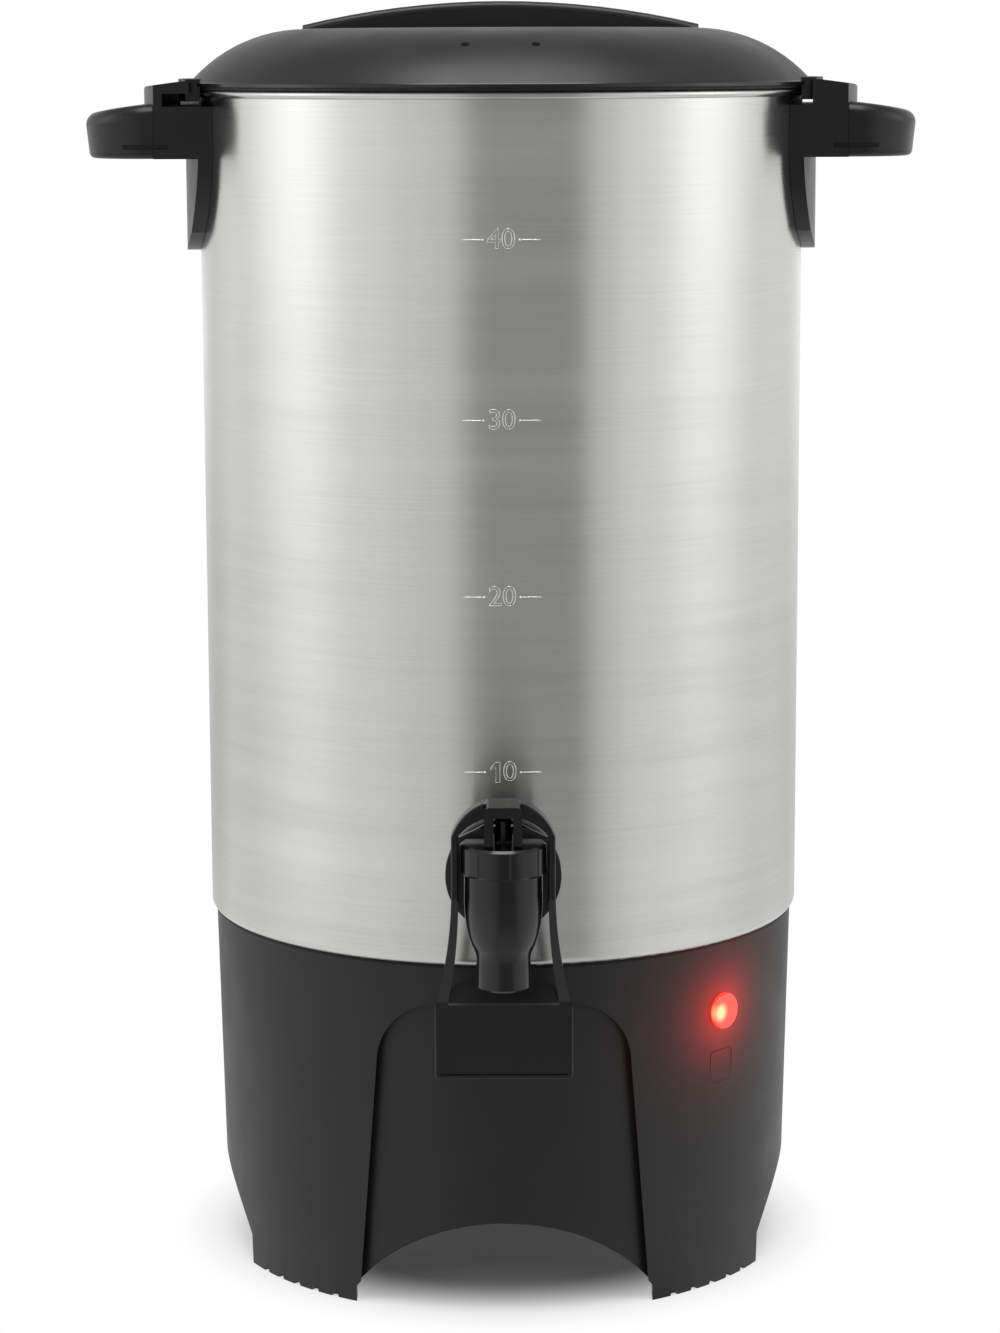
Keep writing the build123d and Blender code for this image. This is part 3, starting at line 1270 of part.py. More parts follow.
# ================================================================ percolator
# Pump: a bell foot over the well, and the tube that the water rises in.
with BuildPart() as pump_stem:
    with BuildSketch(Plane.XZ):
        with BuildLine():
            crown_z = foot_z + FOOT_CROWN
            Polyline(
                (valve_bore_r, foot_z),
                (foot_r, foot_z),
                (foot_r, foot_z + FOOT_EDGE),
                (TUBE_R + FOOT_NECK, crown_z),
                (TUBE_R, crown_z + FOOT_COLLAR),
                (TUBE_R, basket_z - SEAL_GAP - SEATING),
                (seating_r, basket_z - SEAL_GAP - SEATING),
                (seating_r, basket_z - SEAL_GAP),
                (TUBE_R, basket_z - SEAL_GAP),
                (TUBE_R, tube_top),
                (tube_bore_r, tube_top),
                (tube_bore_r, valve_z + VALVE_ROOM + VALVE_ROOF),
                (valve_bore_r, valve_z + VALVE_ROOM),
                (valve_room_r, valve_z + VALVE_ROOM),
                (valve_room_r, valve_z),
                (valve_bore_r, valve_z),
                close=True,
            )
        make_face()
    revolve(axis=Axis.Z)
    with BuildSketch(Plane.XY.offset(foot_z)):
        Rectangle(3 * foot_r, FOOT_SLOT)
        Rectangle(FOOT_SLOT, 3 * foot_r)
    extrude(amount=VALVE_SHELF - FOOT_SLOT_ROOF, mode=Mode.SUBTRACT)

# Loose washer that works as the pump's check valve.
with BuildPart() as pump_valve:
    with BuildSketch(Plane.XY.offset(valve_z + FOOT_GAP)):
        Circle(VALVE_R)
    extrude(amount=VALVE_THICK)

with BuildPart() as coffee_basket:
    with BuildSketch(Plane.XZ):
        with BuildLine():
            tube_r = basket_bore_r + BASKET_WALL
            Polyline(
                (basket_bore_r, basket_z),
                (BASKET_R, basket_z),
                (basket_top_r, basket_rim_z - BASKET_RIM),
                (basket_top_r + BASKET_RIM, basket_rim_z - BASKET_RIM),
                (basket_top_r + BASKET_RIM, basket_rim_z),
                (basket_top_r - BASKET_WALL, basket_rim_z),
                (BASKET_R - BASKET_WALL, basket_z + BASKET_WALL),
                (tube_r, basket_z + BASKET_WALL),
                (tube_r, basket_rim_z - BASKET_TUBE_SHORT),
                (basket_bore_r, basket_rim_z - BASKET_TUBE_SHORT),
                close=True,
            )
        make_face()
    revolve(axis=Axis.Z)
    with BuildSketch(Plane.XY.offset(basket_z - 1)):
        for radius, count in FLOOR_HOLES:
            with PolarLocations(radius, count):
                Circle(HOLE_R)
    extrude(amount=BASKET_WALL + 2, mode=Mode.SUBTRACT)

# Spreader: the perforated cover that shares the water over the grounds.
with BuildPart() as basket_cover:
    with BuildSketch(Plane.XZ):
        with BuildLine():
            sheet_z = basket_rim_z + SEAL_GAP
            skirt_out = basket_top_r - BASKET_WALL - SPREADER_GAP
            Polyline(
                (basket_bore_r, sheet_z),
                (skirt_out - SPREADER_THICK, sheet_z),
                (skirt_out - SPREADER_THICK, sheet_z - SPREADER_SKIRT),
                (skirt_out - SPREADER_DRAFT, sheet_z - SPREADER_SKIRT),
                (skirt_out, sheet_z),
                (basket_top_r + BASKET_RIM, sheet_z),
                (basket_top_r + BASKET_RIM, sheet_z + SPREADER_THICK),
                (basket_bore_r + SPREADER_HUB_FLARE, sheet_z + SPREADER_THICK),
                (basket_bore_r + SPREADER_THICK, sheet_z + SPREADER_HUB),
                (basket_bore_r, sheet_z + SPREADER_HUB),
                close=True,
            )
        make_face()
    revolve(axis=Axis.Z)
    with BuildSketch(Plane.XY.offset(sheet_z - 1)):
        for radius, count in SPREADER_HOLES:
            with PolarLocations(radius, count):
                Circle(HOLE_R)
    extrude(amount=SPREADER_THICK + 2, mode=Mode.SUBTRACT)

# ================================================================ heating, under the tank
with BuildPart() as heat_plate:
    with BuildSketch(Plane.XY.offset(heat_z)):
        Circle(heat_plate_r)
        Circle(STUD_R + STUD_FIT, mode=Mode.SUBTRACT)
    extrude(amount=HEAT_PLATE)


def ring_heater(ring_r, tube_r, gap, z):
    """Sheathed ring heater, open at the back, with a terminal pin under each end."""
    start = around(180 + gap)
    with BuildPart() as heater:
        with BuildSketch(Plane(origin=(0, 0, 0), x_dir=start.z_dir, z_dir=start.x_dir * -1)):
            with Locations((ring_r, z)):
                Circle(tube_r)
        revolve(axis=Axis.Z, revolution_arc=360 - 2 * gap)
        for sign in (-1, 1):
            with BuildSketch(Plane.XY.offset(z - tube_r - HEATER_PIN)):
                with Locations(spot(180 + sign * (gap + PIN_STEP), ring_r)):
                    Circle(HEATER_PIN_R)
            extrude(amount=tube_r + HEATER_PIN)
    return heater


boil_heater = ring_heater(boil_ring_r, BOIL_TUBE_R, BOIL_GAP, boil_z)
warm_heater = ring_heater(WARM_RING_R, WARM_TUBE_R, WARM_GAP, warm_z)

with BuildPart() as heater_clamp:
    with BuildSketch(Plane.XY.offset(clamp_z)):
        RectangleRounded(2 * CLAMP_HALF_X, 2 * CLAMP_HALF_Y, CLAMP_ROUND)
        Circle(STUD_R + STUD_FIT, mode=Mode.SUBTRACT)
    extrude(amount=CLAMP_THICK)

with BuildPart() as clamp_stud:
    with BuildSketch(Plane.XY.offset(stud_low)):
        Circle(STUD_R)
    extrude(amount=well_under - stud_low)
    chamfer(clamp_stud.edges().sort_by(Axis.Z)[0], STUD_CHAMFER)

with BuildPart() as clamp_nuts:
    for top in (clamp_z, strap_z):
        with BuildSketch(Plane.XY.offset(top)):
            RegularPolygon(NUT_R, 6)
            Circle(STUD_R + THREAD_FIT, mode=Mode.SUBTRACT)
        extrude(amount=-NUT_HIGH)

thermostat_x, thermostat_y = THERMOSTAT_XY
thermostat_z = floor_under - HEAT_FIT - THERMOSTAT_HIGH
blade_reach = THERMOSTAT_R + BLADE[1] / 2 - BLADE_INTO
with BuildPart() as thermostat:
    with BuildSketch(Plane.XY.offset(thermostat_z)):
        with Locations(THERMOSTAT_XY):
            Circle(THERMOSTAT_R)
    extrude(amount=THERMOSTAT_HIGH)
    with BuildSketch(Plane.XY.offset(thermostat_z + BLADE_UP)):
        for sign in (-1, 1):
            with Locations((thermostat_x + sign * blade_reach, thermostat_y)):
                Rectangle(BLADE[1], BLADE[0])
    extrude(amount=BLADE[2])


def hat_strap(half, low, foot):
    """Outline of a strap that hangs something under the tank floor."""
    sheet = BRACKET_SHEET
    out = half + sheet
    top = floor_under
    Polyline(
        (-out - foot, top),
        (-half, top),
        (-half, low),
        (half, low),
        (half, top),
        (out + foot, top),
        (out + foot, top - sheet),
        (out, top - sheet),
        (out, low - sheet),
        (-out, low - sheet),
        (-out, top - sheet),
        (-out - foot, top - sheet),
        close=True,
    )


with BuildPart() as thermostat_bracket:
    bracket_plane = Plane(
        origin=(thermostat_x - BRACKET_WIDE / 2, thermostat_y, 0), x_dir=(0, 1, 0), z_dir=(1, 0, 0)
    )
    with BuildSketch(bracket_plane):
        with BuildLine():
            hat_strap(THERMOSTAT_R + BRACKET_GAP, thermostat_z - HEAT_FIT, BRACKET_FOOT)
        make_face()
    extrude(amount=BRACKET_WIDE)

fuse_x, fuse_y = FUSE_XY
fuse_z = floor_under - BRACKET_GAP - FUSE_R
with BuildPart() as thermal_fuse:
    with BuildSketch(Plane(origin=(fuse_x, fuse_y - FUSE_LEN / 2, fuse_z), z_dir=(0, 1, 0))):
        Circle(FUSE_R)
    extrude(amount=FUSE_LEN)
    chamfer(thermal_fuse.edges().filter_by(GeomType.CIRCLE), FUSE_CHAMFER)

with BuildPart() as fuse_clip:
    clip_plane = Plane(
        origin=(fuse_x, fuse_y + CLIP_WIDE / 2, 0), x_dir=(1, 0, 0), z_dir=(0, -1, 0)
    )
    with BuildSketch(clip_plane):
        with BuildLine():
            hat_strap(FUSE_R + CLIP_FIT, fuse_z - FUSE_R - CLIP_FIT, BRACKET_FOOT)
        make_face()
    extrude(amount=CLIP_WIDE)

# Terminal block on the cover, with a port and a screw for each lead.
block_x, block_y, block_z = BLOCK_SIZE
port_z = cover_top + PORT_HIGH
port_front = BLOCK_Y - block_y / 2
with BuildPart() as terminal_block:
    with BuildSketch(Plane.XY.offset(cover_top)):
        with Locations((0, BLOCK_Y)):
            RectangleRounded(block_x, block_y, BLOCK_EDGE)
    extrude(amount=block_z)
    port_places = [PORT_PITCH * (index - (PORTS - 1) / 2) for index in range(PORTS)]
    with BuildSketch(Plane.XZ.offset(-BLOCK_Y - block_y / 2 - 1)):
        with Locations(*[(place, port_z) for place in port_places]):
            Circle(WIRE_R + PORT_GAP)
    extrude(amount=block_y + 2, mode=Mode.SUBTRACT)
    with BuildSketch(Plane.XY.offset(cover_top + block_z)):
        with Locations(*[(place, BLOCK_Y) for place in port_places]):
            Circle(PORT_SCREW_R)
    extrude(amount=-PORT_SCREW_DEEP, mode=Mode.SUBTRACT)

# Leads: their points are chosen by hand, and each end meets a pin, a blade or a port.
boil_pin_low = boil_z - BOIL_TUBE_R - HEATER_PIN
warm_pin_low = warm_z - WARM_TUBE_R - HEATER_PIN
blade_z = thermostat_z + BLADE_UP
boil_pin_x, boil_pin_y = spot(180 - BOIL_GAP - PIN_STEP, boil_ring_r)
warm_pin_x, warm_pin_y = spot(180 - WARM_GAP - PIN_STEP, WARM_RING_R)
port_in = port_front + PORT_INTO
run_z = SEAM_Z - LEAD_RUN_DOWN
lift_z = SEAM_Z - LEAD_LIFT_DOWN
lamp_end = lens_seat - NEON_LEN
lamp_turn = lamp_end - LAMP_LEAD
pair_gap = WIRE_R + LAMP_FIT
lead_routes = [
    # From the block to the thermostat, and from there to the boiling heater.
    [
        (port_places[0], port_in, port_z),
        (port_places[0], port_in - 12, port_z),
        (thermostat_x - blade_reach, thermostat_y, run_z),
        (thermostat_x - blade_reach, thermostat_y, blade_z),
    ],
    [
        (thermostat_x + blade_reach, thermostat_y, blade_z),
        (thermostat_x + blade_reach, thermostat_y, lift_z),
        (-boil_pin_x - 3, boil_pin_y + 6, run_z),
        (-boil_pin_x, boil_pin_y, boil_pin_low - 10),
        (-boil_pin_x, boil_pin_y, boil_pin_low),
    ],
    # From the heater's other end to the fuse, and back to the block.
    [
        (boil_pin_x, boil_pin_y, boil_pin_low),
        (boil_pin_x, boil_pin_y, boil_pin_low - 10),
        (boil_pin_x + 3, boil_pin_y + 6, run_z),
        (fuse_x, fuse_y - FUSE_LEN / 2 - 12, lift_z),
        (fuse_x, fuse_y - FUSE_LEN / 2 - 12, fuse_z),
        (fuse_x, fuse_y - FUSE_LEN / 2, fuse_z),
    ],
    [
        (fuse_x, fuse_y + FUSE_LEN / 2, fuse_z),
        (fuse_x, fuse_y + FUSE_LEN / 2 + 9, fuse_z),
        (fuse_x - 2, fuse_y + FUSE_LEN / 2 + 9, run_z),
        (port_places[-1], port_in - 12, port_z),
        (port_places[-1], port_in, port_z),
    ],
]
for sign, port in ((-1, 1), (1, PORTS - 2)):
    lead_routes.append(
        [
            (port_places[port], port_in, port_z),
            (port_places[port], port_in - 9, port_z),
            (sign * warm_pin_x, warm_pin_y, port_z + 16),
            (sign * warm_pin_x, warm_pin_y, warm_pin_low),
        ]
    )
for sign, port in ((-1, 2), (1, PORTS - 3)):
    lead_routes.append(
        [
            (port_places[port], port_in, port_z),
            (port_places[port], port_in - 16 - 3 * sign, port_z),
            (34 + 3 * sign, 3 * sign, 54 + 3 * sign),
            (*spot(LAMP_ANGLE, lamp_turn), lamp_z + sign * pair_gap),
            (*spot(LAMP_ANGLE, lamp_end), lamp_z + sign * pair_gap),
        ]
    )

with BuildPart() as lead_wires:
    for route in lead_routes:
        with BuildLine() as run:
            FilletPolyline(*route, radius=WIRE_BEND)
        with BuildSketch(Plane(origin=run.line @ 0, z_dir=run.line % 0)):
            Circle(WIRE_R)
        sweep(path=run.line)

# ================================================================ write the parts
pieces = {
    "tank_shell": tank_shell,
    "tank_floor": tank_floor,
    "base_skirt": base_skirt,
    "base_cover": base_cover,
    "cover_screws": cover_screws,
    "base_strap": base_strap,
    "handle_left": handle_left,
    "handle_right": handle_right,
    "handle_screws": handle_screws,
    "handle_washers": handle_washers,
    "lid": lid,
    "lid_seal": lid_seal,
    "tap_body": tap_body,
    "tap_collar": tap_collar,
    "tap_gasket_outer": tap_gasket_outer,
    "tap_gasket_inner": tap_gasket_inner,
    "tap_nut": tap_nut,
    "tap_stem": tap_stem,
    "seat_cup": seat_cup,
    "tap_spring": tap_spring,
    "lever_pin": lever_pin,
    "tap_lever": tap_lever,
    "pump_stem": pump_stem,
    "pump_valve": pump_valve,
    "coffee_basket": coffee_basket,
    "basket_cover": basket_cover,
    "heat_plate": heat_plate,
    "boil_heater": boil_heater,
    "warm_heater": warm_heater,
    "heater_clamp": heater_clamp,
    "clamp_stud": clamp_stud,
    "clamp_nuts": clamp_nuts,
    "thermostat": thermostat,
    "thermostat_bracket": thermostat_bracket,
    "thermal_fuse": thermal_fuse,
    "fuse_clip": fuse_clip,
    "terminal_block": terminal_block,
    "lead_wires": lead_wires,
    "lamp_lens": lamp_lens,
    "neon_lamp": neon_lamp,
    "lamp_retainer": lamp_retainer,
    "cord_gland": cord_gland,
    "gland_nut": gland_nut,
}
os.makedirs("parts", exist_ok=True)
for name, piece in pieces.items():
    piece.part.label = name
    export_step(piece.part, f"parts/{name}.step")
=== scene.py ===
"""Coffee urn: its finishes, the fine detail on them, and the studio that it stands in."""

import logging
import math
from dataclasses import dataclass, field
from enum import Enum
from typing import Any

import bmesh
import bpy
from mathutils import Euler, Matrix, Vector

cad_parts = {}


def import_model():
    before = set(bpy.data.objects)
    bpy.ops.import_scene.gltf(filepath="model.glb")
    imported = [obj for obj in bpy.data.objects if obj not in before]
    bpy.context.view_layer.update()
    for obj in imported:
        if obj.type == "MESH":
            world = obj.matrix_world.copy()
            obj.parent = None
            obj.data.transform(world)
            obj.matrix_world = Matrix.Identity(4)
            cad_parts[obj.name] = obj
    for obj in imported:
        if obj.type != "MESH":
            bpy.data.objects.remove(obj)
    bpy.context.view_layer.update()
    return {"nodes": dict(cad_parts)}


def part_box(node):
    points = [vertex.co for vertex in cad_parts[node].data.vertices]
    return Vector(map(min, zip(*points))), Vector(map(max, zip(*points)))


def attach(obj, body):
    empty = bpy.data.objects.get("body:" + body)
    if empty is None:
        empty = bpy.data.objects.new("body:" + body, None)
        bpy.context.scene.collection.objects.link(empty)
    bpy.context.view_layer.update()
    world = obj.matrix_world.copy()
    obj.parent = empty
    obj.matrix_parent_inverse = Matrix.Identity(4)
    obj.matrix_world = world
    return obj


log = logging.getLogger("coffee_urn")
MM = 0.001
WAVE = math.pi / 10  # length of one wave of the wave texture at a scale of one
SMOOTHEST = 0.02  # roughness that no pattern goes below

# Values of a noise where a pattern begins and ends to change: the closer they lie, the harder the pattern.
SOFT = (0.3, 0.7)
MEDIUM = (0.35, 0.65)
HARD = (0.4, 0.6)

# Short names for the types in the hints.
Tree = bpy.types.NodeTree
Node = bpy.types.Node
Socket = bpy.types.NodeSocket
Shape = bmesh.types.BMesh


def linear(hexcode: str) -> tuple[float, float, float, float]:
    """Turn an sRGB hex value into a linear colour.

    Args:
        hexcode: Six hex digits after a hash sign.

    Returns:
        Red, green, blue and an alpha of one, in linear light.
    """
    channels = []
    for place in (1, 3, 5):
        value = int(hexcode[place:place + 2], 16) / 255
        # The sRGB curve is straight near black and a power above that.
        channels.append(value / 12.92 if value <= 0.04045 else ((value + 0.055) / 1.055) ** 2.4)
    return (channels[0], channels[1], channels[2], 1.0)


def add_node(tree: Tree, kind: str, inputs: dict[str | int, Any] | None = None, **settings: Any) -> Node:
    """Add a node, with its settings, its values and its links.

    Args:
        tree: Node tree that takes the node.
        kind: The node's class name.
        inputs: Socket name or number to a value, or to the output that feeds it.
        settings: The node's own properties.

    Returns:
        The new node.
    """
    node = tree.nodes.new(kind)
    for name, value in settings.items():
        setattr(node, name, value)
    for key, value in (inputs or {}).items():
        socket = node.inputs[key]
        if isinstance(value, Socket):
            tree.links.new(value, socket)
        else:
            socket.default_value = value
    return node


def empty_tree(owner: bpy.types.Material | bpy.types.World) -> Tree:
    """Give a material or a world a node tree with nothing in it.

    Args:
        owner: The new material or world.

    Returns:
        Its node tree.
    """
    owner.use_nodes = True
    owner.node_tree.nodes.clear()
    return owner.node_tree


def mesh_of(shape: Shape, name: str) -> bpy.types.Mesh:
    """Turn a finished shape into a mesh.

    Args:
        shape: The shape; it is freed here.
        name: The mesh's name.

    Returns:
        The new mesh.
    """
    mesh = bpy.data.meshes.new(name)
    shape.to_mesh(mesh)
    shape.free()
    return mesh


def add_object(name: str, data: bpy.types.ID) -> bpy.types.Object:
    """Put a mesh, a curve, a light or a camera in the scene.

    Args:
        name: The object's name.
        data: What it shows.

    Returns:
        The new object, at the origin.
    """
    made = bpy.data.objects.new(name, data)
    bpy.context.scene.collection.objects.link(made)
    return made


# ---------------------------------------------------------------------------- finishes


@dataclass(frozen=True)
class Finish:
    """What every finish shares: a name, a colour and a roughness."""

    name: str
    colour: str
    roughness: float

    def material(self) -> bpy.types.Material:
        """Give the finish's material, built at its first use."""
        return bpy.data.materials.get(self.name) or self.build()

    def build(self) -> bpy.types.Material:
        """Build the material.

        Returns:
            The new material, with its shader, coordinates and pattern.
        """
        material = bpy.data.materials.new(self.name)
        tree = empty_tree(material)
        shader = add_node(tree, "ShaderNodeBsdfPrincipled", {
            "Base Color": linear(self.colour), "Roughness": self.roughness})
        add_node(tree, "ShaderNodeOutputMaterial", {"Surface": shader.outputs[0]})
        place = add_node(tree, "ShaderNodeTexCoord").outputs["Object"]
        self.pattern(tree, shader, place)
        return material

    def pattern(self, tree: Tree, shader: Node, place: Socket) -> None:
        """Draw the finish's own pattern; each kind of finish has its own.

        Args:
            tree: The material's nodes.
            shader: The principled shader.
            place: Object coordinates, in metres.
        """

    @staticmethod
    def noise(tree: Tree, place: Socket, size: tuple[float, float, float],
              detail: float = 3.0, rough: float = 0.55) -> Socket:
        """Lay a noise whose features have a real size.

        Args:
            tree: The material's nodes.
            place: Object coordinates.
            size: Feature size along X, Y and Z, in millimetres.
            detail: Octaves of finer noise.
            rough: Strength of the finer octaves.

        Returns:
            The noise's value, about a half.
        """
        scale = Vector([1 / (each * MM) for each in size])
        spread = add_node(tree, "ShaderNodeMapping", {"Vector": place, "Scale": scale})
        texture = add_node(tree, "ShaderNodeTexNoise", {
            "Vector": spread.outputs[0], "Scale": 1.0, "Detail": detail, "Roughness": rough})
        return texture.outputs["Fac"]

    @staticmethod
    def span(tree: Tree, value: Socket, source: tuple[float, float], target: tuple[float, float]) -> Socket:
        """Stretch a value from one range to another, and stop at its ends."""
        return add_node(tree, "ShaderNodeMapRange", {
            "Value": value, "From Min": source[0], "From Max": source[1],
            "To Min": target[0], "To Max": target[1]}).outputs[0]

    def tint(self, tree: Tree, shader: Node, value: Socket, source: tuple[float, float],
             shades: tuple[str, str]) -> None:
        """Let a pattern turn the colour between two shades.

        Args:
            tree: The material's nodes.
            shader: The principled shader.
            value: The pattern.
            source: The pattern's values at the first and the last shade.
            shades: The two shades, as hex values.
        """
        blend = add_node(tree, "ShaderNodeMix", {
            "Factor": self.span(tree, value, source, (0, 1)),
            "A": linear(shades[0]), "B": linear(shades[1])}, data_type="RGBA")
        tree.links.new(blend.outputs["Result"], shader.inputs["Base Color"])

    def roughen(self, tree: Tree, shader: Node, value: Socket, swing: float) -> None:
        """Let a pattern swing the roughness about its middle."""
        low, high = max(self.roughness - swing, SMOOTHEST), min(self.roughness + swing, 1.0)
        tree.links.new(self.span(tree, value, SOFT, (low, high)), shader.inputs["Roughness"])

    @staticmethod
    def relief(tree: Tree, shader: Node, value: Socket, depth_mm: float, strength: float = 1.0) -> None:
        """Raise a pattern from the surface by a real depth."""
        bump = add_node(tree, "ShaderNodeBump", {
            "Height": value, "Distance": depth_mm * MM, "Strength": strength})
        tree.links.new(bump.outputs[0], shader.inputs["Normal"])


@dataclass(frozen=True)
class BrushedSteel(Finish):
    """Cold-rolled stainless sheet, brushed round the axis: reflections are crisp sideways, long upright."""

    bright: str = "#d3d3d1"
    grain_mm: float = 0.35  # real brush lines lie about 0.1 mm apart, drawn coarser so that they show
    line_mm: float = 34.0  # length of a brush line
    band_mm: tuple[float, float, float] = (160.0, 160.0, 9.0)  # size of a cloudy band
    shading: tuple[float, float] = (0.7, 1.3)  # sums of lines and bands at the darker and the brighter colour
    swing: float = 0.03
    depth_mm: float = 0.0012
    stretch: float = 0.82
    smear: float = 0.25  # turn of the stretch from sideways to upright
    weld_mm: float = 0.0  # half width of the upright weld at the back, or none
    weld_rise: float = 3.0  # height of the weld, in depths of the brush lines

    def pattern(self, tree: Tree, shader: Node, place: Socket) -> None:
        """Draw the brush lines, the longer cloudy bands and the weld.

        Args:
            tree: The material's nodes.
            shader: The principled shader.
            place: Object coordinates, in metres.
        """
        shader.inputs["Metallic"].default_value = 1.0
        shader.inputs["Anisotropic"].default_value = self.stretch
        shader.inputs["Anisotropic Rotation"].default_value = self.smear
        round_axis = add_node(tree, "ShaderNodeTangent", direction_type="RADIAL", axis="Z")
        tree.links.new(round_axis.outputs[0], shader.inputs["Tangent"])
        lines = self.noise(tree, place, (self.line_mm, self.line_mm, self.grain_mm), detail=4.0, rough=0.6)
        bands = self.noise(tree, place, self.band_mm, detail=2.0)
        both = add_node(tree, "ShaderNodeMath", {0: lines, 1: bands}, operation="ADD").outputs[0]
        self.tint(tree, shader, both, self.shading, (self.colour, self.bright))
        self.roughen(tree, shader, bands, self.swing)
        height = self.welded(tree, place, lines) if self.weld_mm else lines
        self.relief(tree, shader, height, self.depth_mm)

    def welded(self, tree: Tree, place: Socket, lines: Socket) -> Socket:
        """Add the upright weld at the back to the brush lines.

        Args:
            tree: The material's nodes.
            place: Object coordinates, in metres.
            lines: Height of the brush lines.

        Returns:
            Height of the lines and the weld.
        """
        axes = add_node(tree, "ShaderNodeSeparateXYZ", {0: place})
        aside = add_node(tree, "ShaderNodeMath", {0: axes.outputs[0]}, operation="ABSOLUTE").outputs[0]
        rear = add_node(tree, "ShaderNodeMath", {
            0: axes.outputs[1], 1: 0.0}, operation="GREATER_THAN").outputs[0]
        seam = self.span(tree, aside, (self.weld_mm * MM, 0.5 * self.weld_mm * MM), (0, self.weld_rise))
        weld = add_node(tree, "ShaderNodeMath", {0: seam, 1: rear}, operation="MULTIPLY").outputs[0]
        return add_node(tree, "ShaderNodeMath", {0: lines, 1: weld}, operation="ADD").outputs[0]


@dataclass(frozen=True)
class MouldedPlastic(Finish):
    """Injection-moulded thermoplastic: a fine spark-eroded skin with cloudy, slightly duller flow marks."""

    shade: str = "#232322"
    skin_mm: float = 0.35  # real eroded pits are about 0.05 mm wide, drawn coarser so that they show
    depth_mm: float = 0.012
    relief_share: float = 0.7
    cloud_mm: float = 28.0
    swing: float = 0.05
    specular: float = 0.3

    def pattern(self, tree: Tree, shader: Node, place: Socket) -> None:
        """Draw the eroded skin and the clouds of its gloss.

        Args:
            tree: The material's nodes.
            shader: The principled shader.
            place: Object coordinates, in metres.
        """
        shader.inputs["Specular IOR Level"].default_value = self.specular
        clouds = self.noise(tree, place, (self.cloud_mm,) * 3, detail=4.0)
        skin = self.noise(tree, place, (self.skin_mm,) * 3, detail=2.0, rough=0.7)
        self.tint(tree, shader, clouds, MEDIUM, (self.colour, self.shade))
        self.roughen(tree, shader, clouds, self.swing)
        self.relief(tree, shader, skin, self.depth_mm, self.relief_share)


@dataclass(frozen=True)
class PaintedGlowPlastic(MouldedPlastic):
    """The same plastic round a lit lamp with a painted glow: red emission for the lamp's light on it, less
    with each millimetre.
    """

    centre: tuple[float, float, float] = (0.0, 0.0, 0.0)
    rim_mm: float = 5.7  # from the lamp's middle to where the glow begins to fade
    fall_mm: float = 6.8  # distance over which the glow drops to a third
    falls: float = 10.0  # how many such distances the glow is followed for
    # colour and strength of the painted glow: emission that stands in for the lamp's red light on the plastic
    glow: str = "#ff3c30"
    level: float = 0.5

    def pattern(self, tree: Tree, shader: Node, place: Socket) -> None:
        """Draw the skin, and the painted glow that fades away from the lamp.

        Args:
            tree: The material's nodes.
            shader: The principled shader.
            place: Object coordinates, in metres.
        """
        super().pattern(tree, shader, place)
        # painted glow: emission in the lamp's red, fading with distance from the lens face
        shader.inputs["Emission Color"].default_value = linear(self.glow)
        away = add_node(tree, "ShaderNodeVectorMath", {0: place, 1: self.centre}, operation="DISTANCE")
        reach = (self.rim_mm * MM, (self.rim_mm + self.falls * self.fall_mm) * MM)
        steps = self.span(tree, away.outputs["Value"], reach, (0, -self.falls))
        fade = add_node(tree, "ShaderNodeMath", {0: steps}, operation="EXPONENT").outputs[0]
        glow = add_node(tree, "ShaderNodeMath", {0: fade, 1: self.level}, operation="MULTIPLY").outputs[0]
        tree.links.new(glow, shader.inputs["Emission Strength"])


@dataclass(frozen=True)
class EdgedPlastic(MouldedPlastic):
    """The same plastic from a mould that is polished along its lowest edge, which shows as a bright line."""

    edge_z: tuple[float, float] = (0.3741, 0.3744)  # metres up, where the polish ends and the skin begins
    edge_rough: float = 0.16

    def pattern(self, tree: Tree, shader: Node, place: Socket) -> None:
        """Draw the skin, and polish it below the edge.

        Args:
            tree: The material's nodes.
            shader: The principled shader.
            place: Object coordinates, in metres.
        """
        super().pattern(tree, shader, place)
        height = add_node(tree, "ShaderNodeSeparateXYZ", {0: place}).outputs[2]
        skin = shader.inputs["Roughness"].links[0].from_socket
        gloss = add_node(tree, "ShaderNodeMix", {
            "Factor": self.span(tree, height, self.edge_z, (0, 1)), "A": self.edge_rough, "B": skin})
        tree.links.new(gloss.outputs["Result"], shader.inputs["Roughness"])


@dataclass(frozen=True)
class SoftRubber(Finish):
    """Compression-moulded rubber or silicone: low sheen, faint bloom on its skin."""

    bloom: str = "#2c2c2b"
    bloom_mm: float = 4.0
    blooming: tuple[float, float] = (0.35, 0.7)  # values of the noise at the plain skin and the full bloom
    swing: float = 0.08
    depth_mm: float = 0.02
    clear: float = 0.0
    ior: float = 1.52

    def pattern(self, tree: Tree, shader: Node, place: Socket) -> None:
        """Draw the bloom, and let light into a clear grade.

        Args:
            tree: The material's nodes.
            shader: The principled shader.
            place: Object coordinates, in metres.
        """
        shader.inputs["Transmission Weight"].default_value = self.clear
        shader.inputs["IOR"].default_value = self.ior
        bloom = self.noise(tree, place, (self.bloom_mm,) * 3, detail=5.0)
        self.tint(tree, shader, bloom, self.blooming, (self.colour, self.bloom))
        self.roughen(tree, shader, bloom, self.swing)
        self.relief(tree, shader, bloom, self.depth_mm, strength=0.4)


